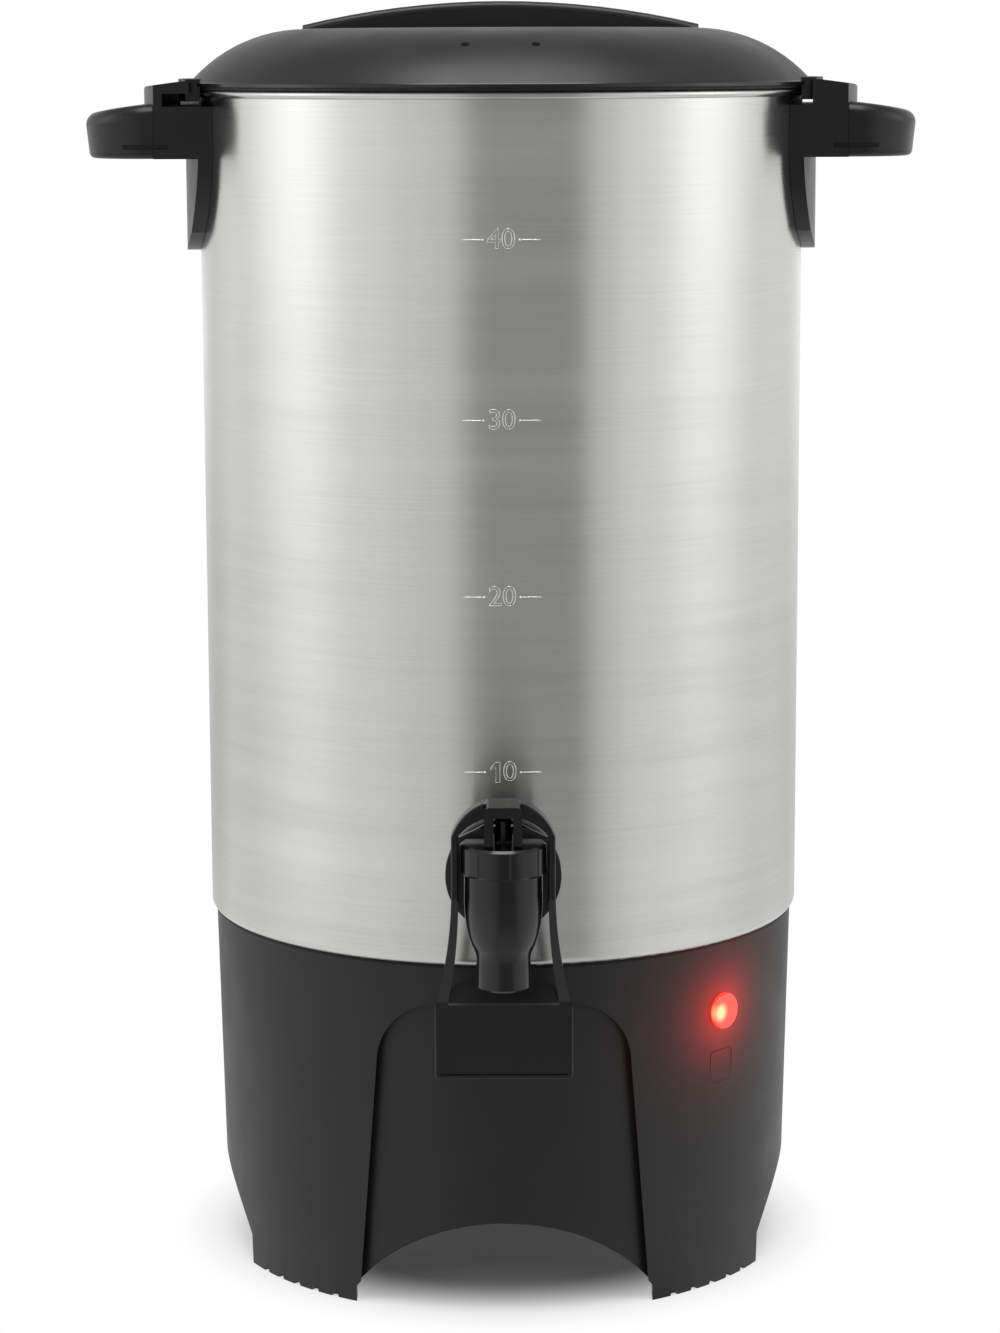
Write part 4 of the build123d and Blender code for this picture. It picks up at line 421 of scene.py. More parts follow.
@dataclass(frozen=True)
class PlatedMetal(Finish):
    """Pressed or turned metal with a thin plating: a cool mottle and fine drawing marks."""

    patch: str = "#b9bcc0"
    patch_mm: float = 2.5
    swing: float = 0.08
    mark_mm: tuple[float, float, float] = (6.0, 0.4, 0.4)
    mark_depth_mm: float = 0.01
    thread_mm: float = 0.0  # pitch of a thread along the upright axis, or none
    thread_share: float = 0.3  # depth of the thread, as a share of its pitch

    def pattern(self, tree: Tree, shader: Node, place: Socket) -> None:
        """Draw the mottle, and the drawing marks or the thread's turns.

        Args:
            tree: The material's nodes.
            shader: The principled shader.
            place: Object coordinates, in metres.
        """
        shader.inputs["Metallic"].default_value = 1.0
        mottle = self.noise(tree, place, (self.patch_mm,) * 3, detail=4.0)
        self.tint(tree, shader, mottle, MEDIUM, (self.colour, self.patch))
        self.roughen(tree, shader, mottle, self.swing)
        if self.thread_mm:
            turns = add_node(tree, "ShaderNodeTexWave", {
                "Vector": place, "Scale": WAVE / (self.thread_mm * MM)}, bands_direction="Z")
            self.relief(tree, shader, turns.outputs["Fac"], self.thread_share * self.thread_mm)
        else:
            self.relief(tree, shader, self.noise(tree, place, self.mark_mm), self.mark_depth_mm, strength=0.6)


@dataclass(frozen=True)
class SpunAluminium(Finish):
    """Spun aluminium: rings left by the forming roller, over a soft grey skin."""

    ring: str = "#c9cac9"
    ring_mm: float = 0.9
    ring_depth_mm: float = 0.02
    cloud_mm: float = 12.0
    swing: float = 0.07

    def pattern(self, tree: Tree, shader: Node, place: Socket) -> None:
        """Draw the rings about the upright axis, with some cloud in them.

        Args:
            tree: The material's nodes.
            shader: The principled shader.
            place: Object coordinates, in metres.
        """
        shader.inputs["Metallic"].default_value = 1.0
        axes = add_node(tree, "ShaderNodeSeparateXYZ", {0: place})
        flat = add_node(tree, "ShaderNodeCombineXYZ", {0: axes.outputs[0], 1: axes.outputs[1]})
        reach = add_node(tree, "ShaderNodeVectorMath", {
            0: flat.outputs[0]}, operation="LENGTH").outputs["Value"]
        path = add_node(tree, "ShaderNodeMath", {0: reach, 1: axes.outputs[2]}, operation="ADD").outputs[0]
        count = add_node(tree, "ShaderNodeMath", {0: path, 1: 1 / (self.ring_mm * MM)}, operation="MULTIPLY")
        rings = add_node(tree, "ShaderNodeTexNoise", {
            "W": count.outputs[0], "Scale": 1.0, "Detail": 3.0}, noise_dimensions="1D").outputs["Fac"]
        clouds = self.noise(tree, place, (self.cloud_mm,) * 3, detail=3.0)
        self.tint(tree, shader, rings, SOFT, (self.colour, self.ring))
        self.roughen(tree, shader, clouds, self.swing)
        self.relief(tree, shader, rings, self.ring_depth_mm, strength=0.5)


@dataclass(frozen=True)
class FiredCeramic(Finish):
    """Fired steatite: matt, chalky, with a fine speck."""

    speck: str = "#d8d2c4"
    speck_mm: float = 0.5
    swing: float = 0.06
    depth_mm: float = 0.02

    def pattern(self, tree: Tree, shader: Node, place: Socket) -> None:
        """Draw the specks and the pressed grain.

        Args:
            tree: The material's nodes.
            shader: The principled shader.
            place: Object coordinates, in metres.
        """
        grain = self.noise(tree, place, (self.speck_mm,) * 3, detail=5.0, rough=0.7)
        self.tint(tree, shader, grain, HARD, (self.speck, self.colour))
        self.roughen(tree, shader, grain, self.swing)
        self.relief(tree, shader, grain, self.depth_mm, strength=0.5)


@dataclass(frozen=True)
class BraidedSleeve(Finish):
    """Glass-fibre sleeve on a lead: two sets of crossing strands."""

    strand: str = "#cfc9b4"
    strand_mm: float = 0.5
    strand_depth_mm: float = 0.08
    lay: float = math.radians(45)
    woven: tuple[float, float] = (0.3, 1.0)  # values of the weave between the strands and on top of them

    def pattern(self, tree: Tree, shader: Node, place: Socket) -> None:
        """Draw the crossing strands.

        Args:
            tree: The material's nodes.
            shader: The principled shader.
            place: Object coordinates, in metres.
        """
        crossing = []
        for turn in (self.lay, -self.lay):
            laid = add_node(tree, "ShaderNodeMapping", {
                "Vector": place, "Rotation": Euler((turn, turn, 0.0))})
            strands = add_node(tree, "ShaderNodeTexWave", {
                "Vector": laid.outputs[0], "Scale": WAVE / (self.strand_mm * MM)})
            crossing.append(strands.outputs["Fac"])
        weave = add_node(tree, "ShaderNodeMath", {
            0: crossing[0], 1: crossing[1]}, operation="MAXIMUM").outputs[0]
        self.tint(tree, shader, weave, self.woven, (self.colour, self.strand))
        self.relief(tree, shader, weave, self.strand_depth_mm, strength=0.6)


@dataclass(frozen=True)
class LampLens(Finish):
    """Red polycarbonate lens over a lit neon: its wall glows, hottest by the electrode behind it."""

    glow: str = "#ff5040"
    glow_level: float = 0.42
    core: str = "#ffd69c"
    core_level: float = 0.95
    core_at: tuple[float, float, float] = (0.0, 0.0, 0.0)
    core_mm: tuple[float, float] = (1.2, 4.0)  # where the core begins to fade, and where it ends
    clear: float = 0.55
    ior: float = 1.58
    facet_mm: float = 0.9
    facet_depth_mm: float = 0.05
    swing: float = 0.05

    def pattern(self, tree: Tree, shader: Node, place: Socket) -> None:
        """Let light through, and draw the glow, its core and the small moulded lens facets.

        Args:
            tree: The material's nodes.
            shader: The principled shader.
            place: Object coordinates, in metres.
        """
        shader.inputs["Transmission Weight"].default_value = self.clear
        shader.inputs["IOR"].default_value = self.ior
        facets = self.noise(tree, place, (self.facet_mm,) * 3, detail=1.0)
        away = add_node(tree, "ShaderNodeVectorMath", {0: place, 1: self.core_at}, operation="DISTANCE")
        near, far = (reach * MM for reach in self.core_mm)
        heat = add_node(tree, "ShaderNodeMapRange", {
            "Value": away.outputs["Value"], "From Min": far, "From Max": near},
            interpolation_type="SMOOTHSTEP").outputs[0]
        blend = add_node(tree, "ShaderNodeMix", {
            "Factor": heat, "A": linear(self.glow), "B": linear(self.core)}, data_type="RGBA")
        tree.links.new(blend.outputs["Result"], shader.inputs["Emission Color"])
        level = self.span(tree, heat, (0, 1), (self.glow_level, self.core_level))
        tree.links.new(level, shader.inputs["Emission Strength"])
        self.roughen(tree, shader, facets, self.swing)
        self.relief(tree, shader, facets, self.facet_depth_mm, strength=0.4)


@dataclass(frozen=True)
class NeonTube(Finish):
    """A lit neon: glass with an orange discharge round its electrodes."""

    core: str = "#ffd9a0"
    cell_mm: float = 1.2
    level: float = 3.0
    coolest: float = 0.7  # level of the cooler cells, as a share of the full level

    def pattern(self, tree: Tree, shader: Node, place: Socket) -> None:
        """Draw the discharge, hotter in small cells.

        Args:
            tree: The material's nodes.
            shader: The principled shader.
            place: Object coordinates, in metres.
        """
        cells = self.noise(tree, place, (self.cell_mm,) * 3, detail=2.0)
        heat = self.span(tree, cells, MEDIUM, (self.coolest * self.level, self.level))
        blend = add_node(tree, "ShaderNodeMix", {
            "Factor": cells, "A": linear(self.colour), "B": linear(self.core)}, data_type="RGBA")
        tree.links.new(blend.outputs["Result"], shader.inputs["Emission Color"])
        tree.links.new(heat, shader.inputs["Emission Strength"])


class Finishes(Enum):
    """The urn's finishes, one for each kind of surface."""

    # Satin sheet: it mirrors the room in broad upright bands.
    WALL = BrushedSteel("brushed stainless wall", "#cacac8", 0.27, weld_mm=0.8)
    # Lines pressed out of the sheet: their rounded tops catch light from all sides, and their steel is
    # painted paler than the wall's, a painted highlight.
    MARKS = BrushedSteel("embossed stainless marks", "#dededa", 0.26, bright="#e6e6e2", stretch=0.0)
    # Drawn sheet: darker than the wall, and its reflections are hardly drawn out.
    FLOOR = BrushedSteel("drawn stainless floor", "#bdbbb7", 0.33, stretch=0.3, depth_mm=0.002)
    # Tough plain moulding: nearly black, with a wide dull sheen.
    BASE = MouldedPlastic("moulded black polypropylene", "#0f0f0e", 0.45, shade="#141413", specular=0.4)
    # The same, a little paler and glossier on the dome, and bright along the lip.
    LID = EdgedPlastic(
        "matt black lid polypropylene", "#131312", 0.41, shade="#181817", depth_mm=0.02, specular=0.42)
    # Phenolic handles: harder, with a tighter highlight along the grip.
    HANDLE = MouldedPlastic(
        "moulded black handle phenolic", "#0c0c0b", 0.33, shade="#111110", depth_mm=0.01, specular=0.42)
    # Polished tap moulding: deep black with small sharp highlights.
    TAP = MouldedPlastic(
        "smooth black tap polypropylene", "#080808", 0.2, shade="#0c0c0b", depth_mm=0.003, swing=0.03,
        specular=0.5)
    # Dull black seal, and milky clear food-grade seals.
    GASKET = SoftRubber("black gasket rubber", "#101010", 0.6, bloom="#181817")
    SILICONE = SoftRubber("clear moulded silicone", "#e4e4de", 0.38, bloom="#f2f2ec", clear=0.5, ior=1.43)
    # Bluish bright plating, plain and on a thread.
    ZINC = PlatedMetal("zinc plated steel", "#9a9ea3", 0.34)
    STUD = PlatedMetal("zinc plated stud thread", "#9a9ea3", 0.34, thread_mm=0.8)
    # Drawn wire and pressings: neutral and shiny.
    SPRING = PlatedMetal("stainless spring wire", "#a8a8a6", 0.24, patch="#bdbdbb", patch_mm=1.0)
    # Soft grey metal with turned rings.
    ALUMINIUM = SpunAluminium("spun aluminium", "#aeafae", 0.36)
    # Brown-grey scale from the heat, with a dull shine.
    SHEATH = PlatedMetal("oxidised heater sheath", "#5c5650", 0.5, patch="#6f675e", patch_mm=5.0)
    # Warm yellow metal with upright turning marks.
    BRASS = PlatedMetal("turned brass nut", "#b08d4c", 0.3, patch="#c19c58", mark_mm=(0.3, 6.0, 6.0))
    # Chalky white body.
    CERAMIC = FiredCeramic("white steatite ceramic", "#ece8de", 0.7)
    # Ivory moulding, half matt.
    BLOCK = MouldedPlastic("natural terminal polyamide", "#d9d4c3", 0.45, shade="#e2decf", depth_mm=0.01)
    # Straw-coloured fabric sleeve, without shine.
    LEADS = BraidedSleeve("braided glass-fibre sleeve", "#b5ae96", 0.75)
    # Clear red lens, and the orange light in it.
    LENS = LampLens("red polycarbonate lens", "#ff6a58", 0.12)
    NEON = NeonTube("lit neon tube", "#ff9a50", 0.1)


# ---------------------------------------------------------------------------- the urn's own assemblies


@dataclass
class Assembly:
    """A sub-assembly of the urn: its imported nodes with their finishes, and the detail added to them."""

    nodes: dict[str, bpy.types.Object]
    finishes: dict[str, Finishes] = field(default_factory=dict)

    def paint(self, node: str, finish: Finish) -> None:
        """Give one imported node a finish.

        Args:
            node: The node's name.
            finish: The finish for all of it.
        """
        for slot in self.nodes[node].material_slots:
            slot.material = finish.material()
        log.info("%s: %s", node, finish.name)

    def dress(self) -> None:
        """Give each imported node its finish."""
        for node, finish in self.finishes.items():
            self.paint(node, finish.value)

    def build(self) -> None:
        """Add the sub-assembly's fine detail; the plain ones have none."""

    @staticmethod
    def piece(name: str, shape: Shape, finish: Finishes, body: str, slot: str) -> bpy.types.Object:
        """Turn a finished shape into a piece of the urn.

        Args:
            name: The piece's name.
            shape: Its mesh, in metres, in the urn's own frame; it is freed here.
            finish: The finish on it.
            body: Body that it moves with.
            slot: Not used.

        Returns:
            The new object, at the origin.
        """
        bmesh.ops.recalc_face_normals(shape, faces=shape.faces)
        mesh = mesh_of(shape, name)
        mesh.shade_smooth()
        mesh.materials.append(finish.value.material())
        made = add_object(name, mesh)
        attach(made, body)
        log.info("%s: added, %d faces", name, len(mesh.polygons))
        return made


@dataclass
class Tank(Assembly):
    """Stainless tank with its embossed cup scale."""

    wall_r: float = 95.0 * MM  # outside of the wall
    # Each mark's figures, and its height in millimetres.
    levels: tuple[tuple[str, float], ...] = (("10", 171.0), ("20", 223.9), ("30", 276.4), ("40", 329.2))
    figure_high: float = 6.1 * MM
    figure_step: float = 4.15 * MM
    font_high: float = 0.73  # height of a figure at a font size of one
    one: tuple[tuple[float, float], ...] = (  # outline of the figure 1, as shares of its height
        (-0.25, 0.22), (-0.02, 0.5), (0.19, 0.5), (0.19, -0.5), (-0.01, -0.5), (-0.01, 0.25), (-0.25, 0.13))
    ridge_r: float = 0.17 * MM
    ridge_steps: int = 1  # how finely a ridge is rounded
    curve_steps: int = 5  # points on each bend of a figure
    dash: tuple[float, float] = (5.4 * MM, 11.6 * MM)  # from the dot to the far end, either side of the axis
    dash_sides: int = 8  # facets round a dash
    dash_steps: int = 6  # lengths in a dash, so that it can follow the wall
    dot_r: float = 0.42 * MM

    def wrap(self, shape: Shape, level: float) -> None:
        """Bend a flat shape round the wall.

        Args:
            shape: A shape drawn flat, X along the wall, Y up and Z outwards.
            level: Height of its middle above the counter.
        """
        for vert in shape.verts:
            along, up, out = vert.co
            turn = along / self.wall_r
            reach = self.wall_r + out
            vert.co = Vector((reach * math.sin(turn), -reach * math.cos(turn), level + up))

    def outline(self, figure: str) -> bpy.types.Curve:
        """Draw a figure's outline as a curve, centred on the origin.

        Args:
            figure: One digit.

        Returns:
            The new curve, without thickness.
        """
        if figure != "1":
            curve = bpy.data.curves.new("figure", "FONT")
            curve.body = figure
            curve.align_x = curve.align_y = "CENTER"
            curve.size = self.figure_high / self.font_high
            curve.fill_mode = "NONE"
            return curve
        curve = bpy.data.curves.new("figure", "CURVE")
        curve.dimensions = "3D"
        line = curve.splines.new("POLY")
        line.points.add(len(self.one) - 1)
        for point, (along, up) in zip(line.points, self.one):
            point.co = (along * self.figure_high, up * self.figure_high, 0.0, 1.0)
        line.use_cyclic_u = True
        return curve

    def figures(self, text: str) -> Shape:
        """Draw the figures as fine raised outlines, flat.

        Args:
            text: The figures.

        Returns:
            A mesh of round ridges along each figure's outline.
        """
        shape = bmesh.new()
        for place, figure in enumerate(text):
            curve = self.outline(figure)
            curve.bevel_depth = self.ridge_r
            curve.bevel_resolution = self.ridge_steps
            curve.resolution_u = self.curve_steps
            holder = add_object("figure", curve)
            bpy.context.view_layer.update()
            seen = holder.evaluated_get(bpy.context.evaluated_depsgraph_get())
            mesh = bpy.data.meshes.new_from_object(seen)
            mesh.transform(Matrix.Translation(((place - (len(text) - 1) / 2) * self.figure_step, 0, 0)))
            shape.from_mesh(mesh)
            bpy.data.objects.remove(holder)
            bpy.data.curves.remove(curve)
            bpy.data.meshes.remove(mesh)
        return shape

    def add_dash(self, mark: Shape, side: int) -> None:
        """Add a dot, and the dash from it, to a mark that is still flat.

        Args:
            mark: The mark.
            side: -1 for the left of the figures, 1 for their right.
        """
        start, end = side * self.dash[0], side * self.dash[1]
        spot = Matrix.Translation((start, 0, 0))
        bmesh.ops.create_icosphere(mark, subdivisions=2, radius=self.dot_r, matrix=spot)
        ring = bmesh.ops.create_circle(mark, segments=self.dash_sides, radius=self.ridge_r,
                                       matrix=spot @ Matrix.Rotation(math.pi / 2, 4, "Y"))
        corners = set(ring["verts"])
        edges = [edge for edge in mark.edges if corners.issuperset(edge.verts)]
        for _ in range(self.dash_steps):
            step = bmesh.ops.extrude_edge_only(mark, edges=edges)["geom"]
            moved = [each for each in step if isinstance(each, bmesh.types.BMVert)]
            edges = [each for each in step if isinstance(each, bmesh.types.BMEdge)]
            bmesh.ops.translate(mark, verts=moved, vec=((end - start) / self.dash_steps, 0, 0))
        bmesh.ops.holes_fill(mark, edges=mark.edges, sides=self.dash_sides)

    def build(self) -> None:
        """Add the scale: figures, dots and dashes at each level."""
        scale = bmesh.new()
        for text, level in self.levels:
            mark = self.figures(text)
            for side in (-1, 1):
                self.add_dash(mark, side)
            self.wrap(mark, level * MM)
            mesh = mesh_of(mark, "mark")
            scale.from_mesh(mesh)
            bpy.data.meshes.remove(mesh)
        self.piece("cup_scale", scale, Finishes.MARKS, "urn", "stainless_wall")


@dataclass
class IndicatorLamp(Assembly):
    """Lit lamp in the base: it paints its own lens, and repaints the housing with a painted red glow round
    the lens.
    """

    housing: str = "base_skirt"
    lens: str = "lamp_lens"
    core_aside: float = 3.0 * MM  # from the lens's middle to its hottest place, along its face

    def build(self) -> None:
        """Give the lens its hot core, and paint a red glow on the housing round it."""
        low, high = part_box(self.lens)
        middle = (low + high) / 2
        outward = Vector((middle.x, middle.y, 0)).normalized()
        reach = max(vert.co.dot(outward) for vert in self.nodes[self.lens].data.vertices)
        face = outward * reach + Vector((0, 0, middle.z))
        plain, red = Finishes.BASE.value, Finishes.LENS.value
        # the housing gets a painted glow round the lens face, in place of the lamp's light falling on it
        self.paint(self.housing, PaintedGlowPlastic(
            "moulded black polypropylene with painted lamp glow", plain.colour, plain.roughness,
            shade=plain.shade, specular=plain.specular, centre=tuple(face)))
        self.paint(self.lens, LampLens(
            "red polycarbonate lens, lit", red.colour, red.roughness,
            core_at=tuple(face + Vector((outward.y, -outward.x, 0)) * self.core_aside)))


# ---------------------------------------------------------------------------- studio


@dataclass
class Studio:
    """White room round the urn: bright panels at its sides, a grey one behind the camera, a pale floor."""

    # Level of light that comes from each bearing; 0 is the front, and the right side is positive.
    surround: tuple[tuple[float, float], ...] = (
        (-180.0, 0.85), (-145.0, 0.7), (-118.0, 0.95), (-82.0, 2.1), (-54.0, 1.08), (-36.0, 0.83),
        (-22.0, 0.76), (-6.0, 0.35), (26.0, 0.34), (38.0, 0.73), (56.0, 1.05), (82.0, 2.0),
        (118.0, 0.9), (145.0, 0.78), (180.0, 0.85),
    )
    brightest: float = 2.1  # the highest of the levels, which a ramp's white stands for
    ceiling: float = 0.4  # level of light from straight above, as a share of that from the side
    ceiling_from: tuple[float, float] = (0.25, 0.85)  # sines of the heights over which it falls to that
    floor_half: float = 6.0  # half of the floor's side, in metres
    floor_cells: int = 24
    floor_paint: tuple[str, str] = ("#f6f6f5", "#fafaf9")
    paint_mm: float = 3.0  # size of the mottle in the paint
    # Metres from the urn's axis between which its shadow gives way to plain white.
    shadow_reach: tuple[float, float] = (0.060, 0.114)
    floor_level: tuple[float, float] = (0.88, 0.98)  # most that it sends to a shiny surface, front and back
    floor_turn: tuple[float, float] = (110.0, 150.0)  # degrees over which it goes from the one to the other
    # Metres from the urn to the floor's share of that level: brightest by the urn and far out.
    floor_gain: tuple[tuple[float, float], ...] = (
        (0.0, 1.05), (0.3, 1.03), (0.5, 0.97), (0.7, 0.85), (1.6, 0.94), (4.0, 1.42))
    # The least that it sends, painted light that shiny surfaces mirror: strongest close to the urn.
    floor_least: tuple[tuple[float, float], ...] = (
        (0.0, 0.66), (0.3, 0.6), (0.4, 0.4), (0.5, 0.25), (0.7, 0.0))
    lamp_at: tuple[float, float, float] = (0.0, -0.3, 1.45)
    lamp_aim: tuple[float, float, float] = (0.0, 0.0, 0.25)
    lamp_side: float = 0.8
    lamp_watts: float = 11.0

    def bearing(self, tree: Tree, place: Socket) -> tuple[Socket, Socket]:
        """Give the studio's level of light at a bearing.

        Args:
            tree: Node tree of the room or the floor.
            place: A direction from the urn, or a place on the floor.

        Returns:
            The level of light, and the bearing in radians.
        """
        axes = add_node(tree, "ShaderNodeSeparateXYZ", {0: place})
        ahead = add_node(tree, "ShaderNodeMath", {
            0: axes.outputs[1], 1: -1.0}, operation="MULTIPLY").outputs[0]
        angle = add_node(tree, "ShaderNodeMath", {
            0: axes.outputs[0], 1: ahead}, operation="ARCTAN2").outputs[0]
        turn = add_node(tree, "ShaderNodeMapRange", {
            "Value": angle, "From Min": -math.pi, "From Max": math.pi}).outputs[0]
        stops = tuple(((degrees + 180) / 360, level) for degrees, level in self.surround)
        return self.graded(tree, turn, stops), angle

    def graded(self, tree: Tree, value: Socket, stops: tuple[tuple[float, float], ...]) -> Socket:
        """Grade a value from 0 to 1 through stops of a place and a level.

        Args:
            tree: Node tree of the room or the floor.
            value: The value.
            stops: Places in rising order, each with its level.

        Returns:
            The level at the value.
        """
        ramp = add_node(tree, "ShaderNodeValToRGB", {"Fac": value})
        ramp.color_ramp.interpolation = "EASE"
        marks = ramp.color_ramp.elements
        while len(marks) < len(stops):
            marks.new(0.5)
        for mark, (position, level) in zip(marks, stops):
            mark.position = position
            mark.color = (level / self.brightest,) * 3 + (1.0,)
        return add_node(tree, "ShaderNodeMath", {
            0: ramp.outputs[0], 1: self.brightest}, operation="MULTIPLY").outputs[0]

    def room(self) -> None:
        """Light the room from all round; to the camera and through glass it is plain white."""
        world = bpy.data.worlds.new("studio")
        bpy.context.scene.world = world
        tree = empty_tree(world)
        direction = add_node(tree, "ShaderNodeTexCoord").outputs["Generated"]
        axes = add_node(tree, "ShaderNodeSeparateXYZ", {0: direction})
        share = add_node(tree, "ShaderNodeMapRange", {
            "Value": axes.outputs[2], "From Min": self.ceiling_from[0], "From Max": self.ceiling_from[1],
            "To Min": 1.0, "To Max": self.ceiling}, interpolation_type="SMOOTHSTEP").outputs[0]
        level = add_node(tree, "ShaderNodeMath", {
            0: self.bearing(tree, direction)[0], 1: share}, operation="MULTIPLY").outputs[0]
        path = add_node(tree, "ShaderNodeLightPath")
        seen = add_node(tree, "ShaderNodeMath", {
            0: path.outputs["Is Camera Ray"], 1: path.outputs["Is Transmission Ray"]}, operation="MAXIMUM")
        shown = add_node(tree, "ShaderNodeMix", {"Factor": seen.outputs[0], "A": level, "B": 1.0})
        back = add_node(tree, "ShaderNodeBackground", {
            "Color": linear("#ffffff"), "Strength": shown.outputs["Result"]})
        add_node(tree, "ShaderNodeOutputWorld", {"Surface": back.outputs[0]})

    def painted(self, tree: Tree, place: Socket, reach: Socket, to_camera: Socket) -> Socket:
        """Paint the floor: matt by the urn, where it keeps the shadow, and plain white further out.

        Args:
            tree: The floor's nodes.
            place: A place on the floor.
            reach: Its distance from the urn's axis.
            to_camera: Whether the camera sees it straight.

        Returns:
            The floor's shader for all but shiny surfaces.
        """
        mottle = Finish.noise(tree, place, (self.paint_mm,) * 3)
        paint = add_node(tree, "ShaderNodeMix", {
            "Factor": mottle, "A": linear(self.floor_paint[0]), "B": linear(self.floor_paint[1])},
            data_type="RGBA")
        matt = add_node(tree, "ShaderNodeBsdfDiffuse", {"Color": paint.outputs["Result"]})
        white = add_node(tree, "ShaderNodeEmission", {"Strength": 1.0})
        far = add_node(tree, "ShaderNodeMapRange", {
            "Value": reach, "From Min": self.shadow_reach[0], "From Max": self.shadow_reach[1]},
            interpolation_type="SMOOTHSTEP")
        plain = add_node(tree, "ShaderNodeMath", {0: far.outputs[0], 1: to_camera}, operation="MULTIPLY")
        return add_node(tree, "ShaderNodeMixShader", {
            0: plain.outputs[0], 1: matt.outputs[0], 2: white.outputs[0]}).outputs[0]

    def mirrored(self, tree: Tree, place: Socket, reach: Socket) -> Socket:
        """Give the floor's level of light for a shiny surface.

        Args:
            tree: The floor's nodes.
            place: A place on the floor.
            reach: Its distance from the urn's axis.

        Returns:
            The shader that sends that level.
        """
        sent, angle = self.bearing(tree, place)
        aside = add_node(tree, "ShaderNodeMath", {0: angle}, operation="ABSOLUTE").outputs[0]
        most = Finish.span(tree, aside, tuple(map(math.radians, self.floor_turn)), self.floor_level)
        capped = add_node(tree, "ShaderNodeMath", {0: sent, 1: most}, operation="MINIMUM").outputs[0]
        furthest = self.floor_gain[-1][0]
        share = add_node(tree, "ShaderNodeMath", {0: reach, 1: furthest}, operation="DIVIDE").outputs[0]
        stops = tuple((metres / furthest, gain) for metres, gain in self.floor_gain)
        raised = add_node(tree, "ShaderNodeMath", {
            0: capped, 1: self.graded(tree, share, stops)}, operation="MULTIPLY").outputs[0]
        # floor_least: painted light, strongest by the urn, that shiny surfaces mirror from the floor
        level = add_node(tree, "ShaderNodeMath", {
            0: raised, 1: self.graded(tree, reach, self.floor_least)}, operation="MAXIMUM").outputs[0]
        return add_node(tree, "ShaderNodeEmission", {"Strength": level}).outputs[0]

    def floor(self) -> None:
        """Lay the floor, with its paint and with what it sends to shiny surfaces."""
        shape = bmesh.new()
        bmesh.ops.create_grid(
            shape, x_segments=self.floor_cells, y_segments=self.floor_cells, size=self.floor_half)
        mesh = mesh_of(shape, "studio_floor")
        material = bpy.data.materials.new("painted studio floor")
        tree = empty_tree(material)
        place = add_node(tree, "ShaderNodeTexCoord").outputs["Object"]
        reach = add_node(tree, "ShaderNodeVectorMath", {0: place}, operation="LENGTH").outputs["Value"]
        path = add_node(tree, "ShaderNodeLightPath")
        both = add_node(tree, "ShaderNodeMixShader", {
            0: path.outputs["Is Glossy Ray"],
            1: self.painted(tree, place, reach, path.outputs["Is Camera Ray"]),
            2: self.mirrored(tree, place, reach)})
        add_node(tree, "ShaderNodeOutputMaterial", {"Surface": both.outputs[0]})
        mesh.materials.append(material)
        ground = add_object("studio_floor", mesh)

    def overhead_lamp(self) -> None:
        """Hang a soft square lamp that faces the urn."""
        light = bpy.data.lights.new("overhead_lamp", "AREA")
        light.size = self.lamp_side
        light.energy = self.lamp_watts
        holder = add_object("overhead_lamp", light)
        place = Vector(self.lamp_at)
        holder.location = place
        holder.rotation_euler = (Vector(self.lamp_aim) - place).to_track_quat("-Z", "Y").to_euler()

    def build(self) -> None:
        """Build the room, the floor and the overhead lamp."""
        self.room()
        self.floor()
        self.overhead_lamp()


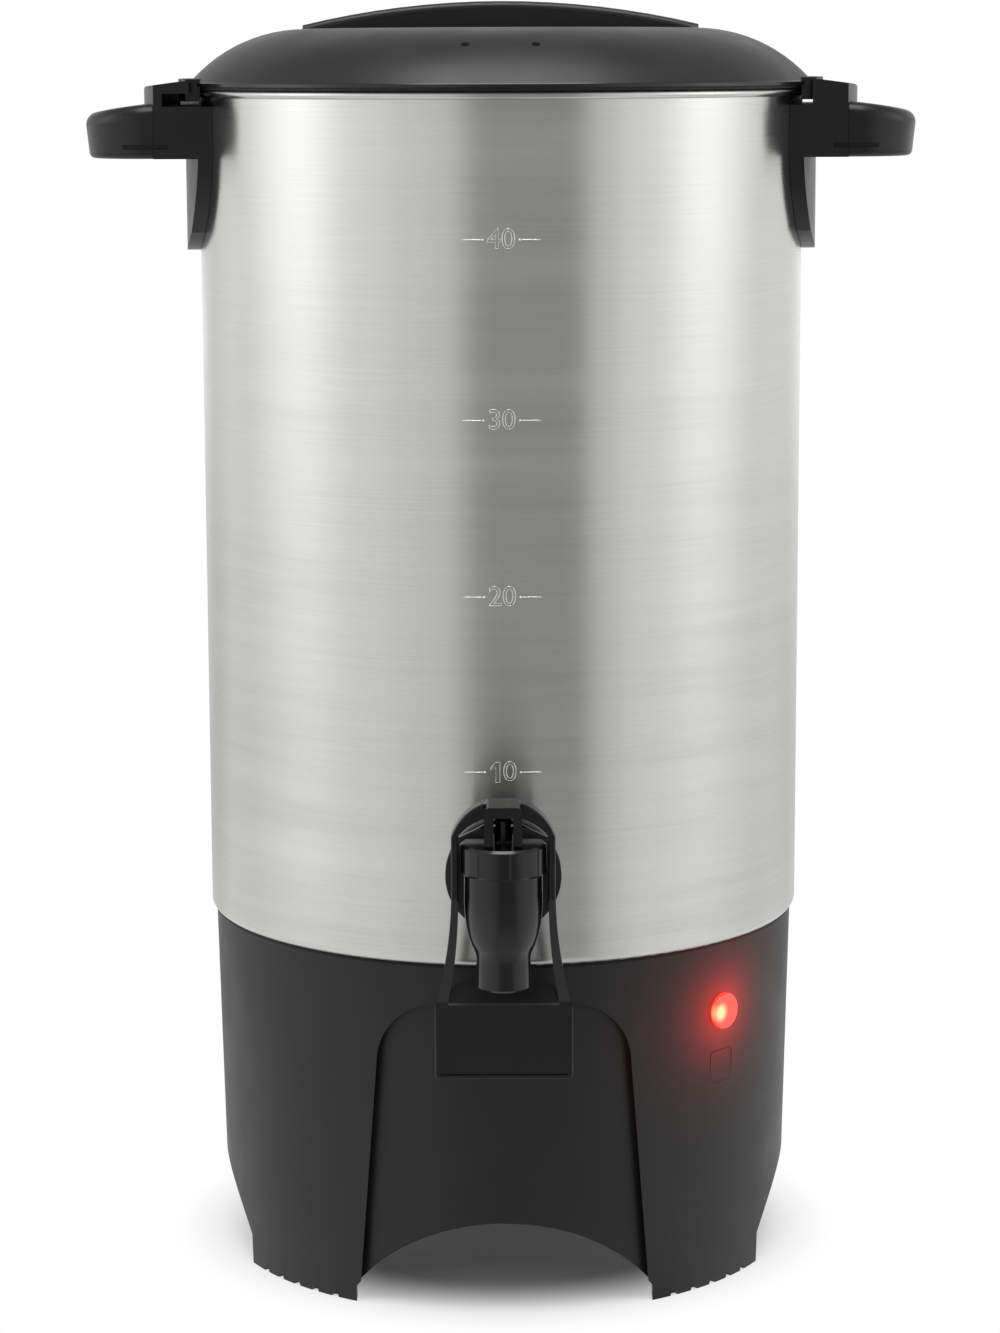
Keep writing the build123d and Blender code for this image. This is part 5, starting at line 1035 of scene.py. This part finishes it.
@dataclass
class Viewpoint:
    """Camera in front of the urn, a little above the rim, tilted down."""

    place: tuple[float, float, float] = (0.0, -1.1391, 0.38215)
    tilt_down: float = 9.728
    turn: float = 0.043
    roll: float = -0.2
    focal_mm: float = 96.26
    film_mm: float = 36.0  # along the frame's long side
    reach: float = 40.0  # how far it sees, in metres

    def build(self) -> None:
        """Make the camera and look through it."""
        camera = bpy.data.cameras.new("front_camera")
        camera.lens = self.focal_mm
        camera.sensor_width = self.film_mm
        camera.clip_end = self.reach
        holder = add_object("front_camera", camera)
        holder.location = self.place
        aim = Euler((math.radians(90 - self.tilt_down), 0.0, math.radians(self.turn))).to_matrix()
        holder.rotation_euler = (aim @ Matrix.Rotation(math.radians(self.roll), 3, "Z")).to_euler()
        bpy.context.scene.camera = holder


def main() -> None:
    """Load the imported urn, dress it, add its detail and set up the studio."""
    logging.basicConfig(level=logging.INFO, format="%(name)s %(message)s")
    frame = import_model()
    bpy.context.scene.view_settings.view_transform = "Standard"
    nodes = frame["nodes"]
    Viewpoint().build()
    f = Finishes
    assemblies = (
        Tank(nodes, {"tank_shell": f.WALL, "tank_floor": f.FLOOR}),
        Assembly(nodes, {"lid": f.LID, "lid_seal": f.GASKET}),
        Assembly(nodes, {
            "handle_left": f.HANDLE, "handle_right": f.HANDLE, "handle_screws": f.ZINC,
            "handle_washers": f.ZINC}),
        Assembly(nodes, {
            "base_skirt": f.BASE, "base_cover": f.BASE, "cover_screws": f.ZINC, "base_strap": f.ZINC,
            "cord_gland": f.HANDLE, "gland_nut": f.HANDLE}),
        IndicatorLamp(nodes, {"neon_lamp": f.NEON, "lamp_retainer": f.SPRING}),
        Assembly(nodes, {
            "tap_gasket_outer": f.GASKET, "tap_gasket_inner": f.SILICONE, "tap_nut": f.BRASS,
            "tap_body": f.TAP, "tap_collar": f.TAP, "seat_cup": f.SILICONE, "tap_stem": f.TAP,
            "tap_spring": f.SPRING, "lever_pin": f.SPRING, "tap_lever": f.TAP}),
        Assembly(nodes, {
            "pump_stem": f.ALUMINIUM, "pump_valve": f.SPRING, "coffee_basket": f.ALUMINIUM,
            "basket_cover": f.ALUMINIUM}),
        Assembly(nodes, {
            "heat_plate": f.ALUMINIUM, "boil_heater": f.SHEATH, "warm_heater": f.SHEATH,
            "heater_clamp": f.ZINC, "clamp_stud": f.STUD, "clamp_nuts": f.ZINC, "thermostat": f.CERAMIC,
            "thermostat_bracket": f.ZINC, "thermal_fuse": f.SPRING, "fuse_clip": f.ZINC,
            "terminal_block": f.BLOCK, "lead_wires": f.LEADS}),
    )
    for assembly in assemblies:
        assembly.dress()
        assembly.build()
    Studio().build()


if __name__ == "__main__":
    main()
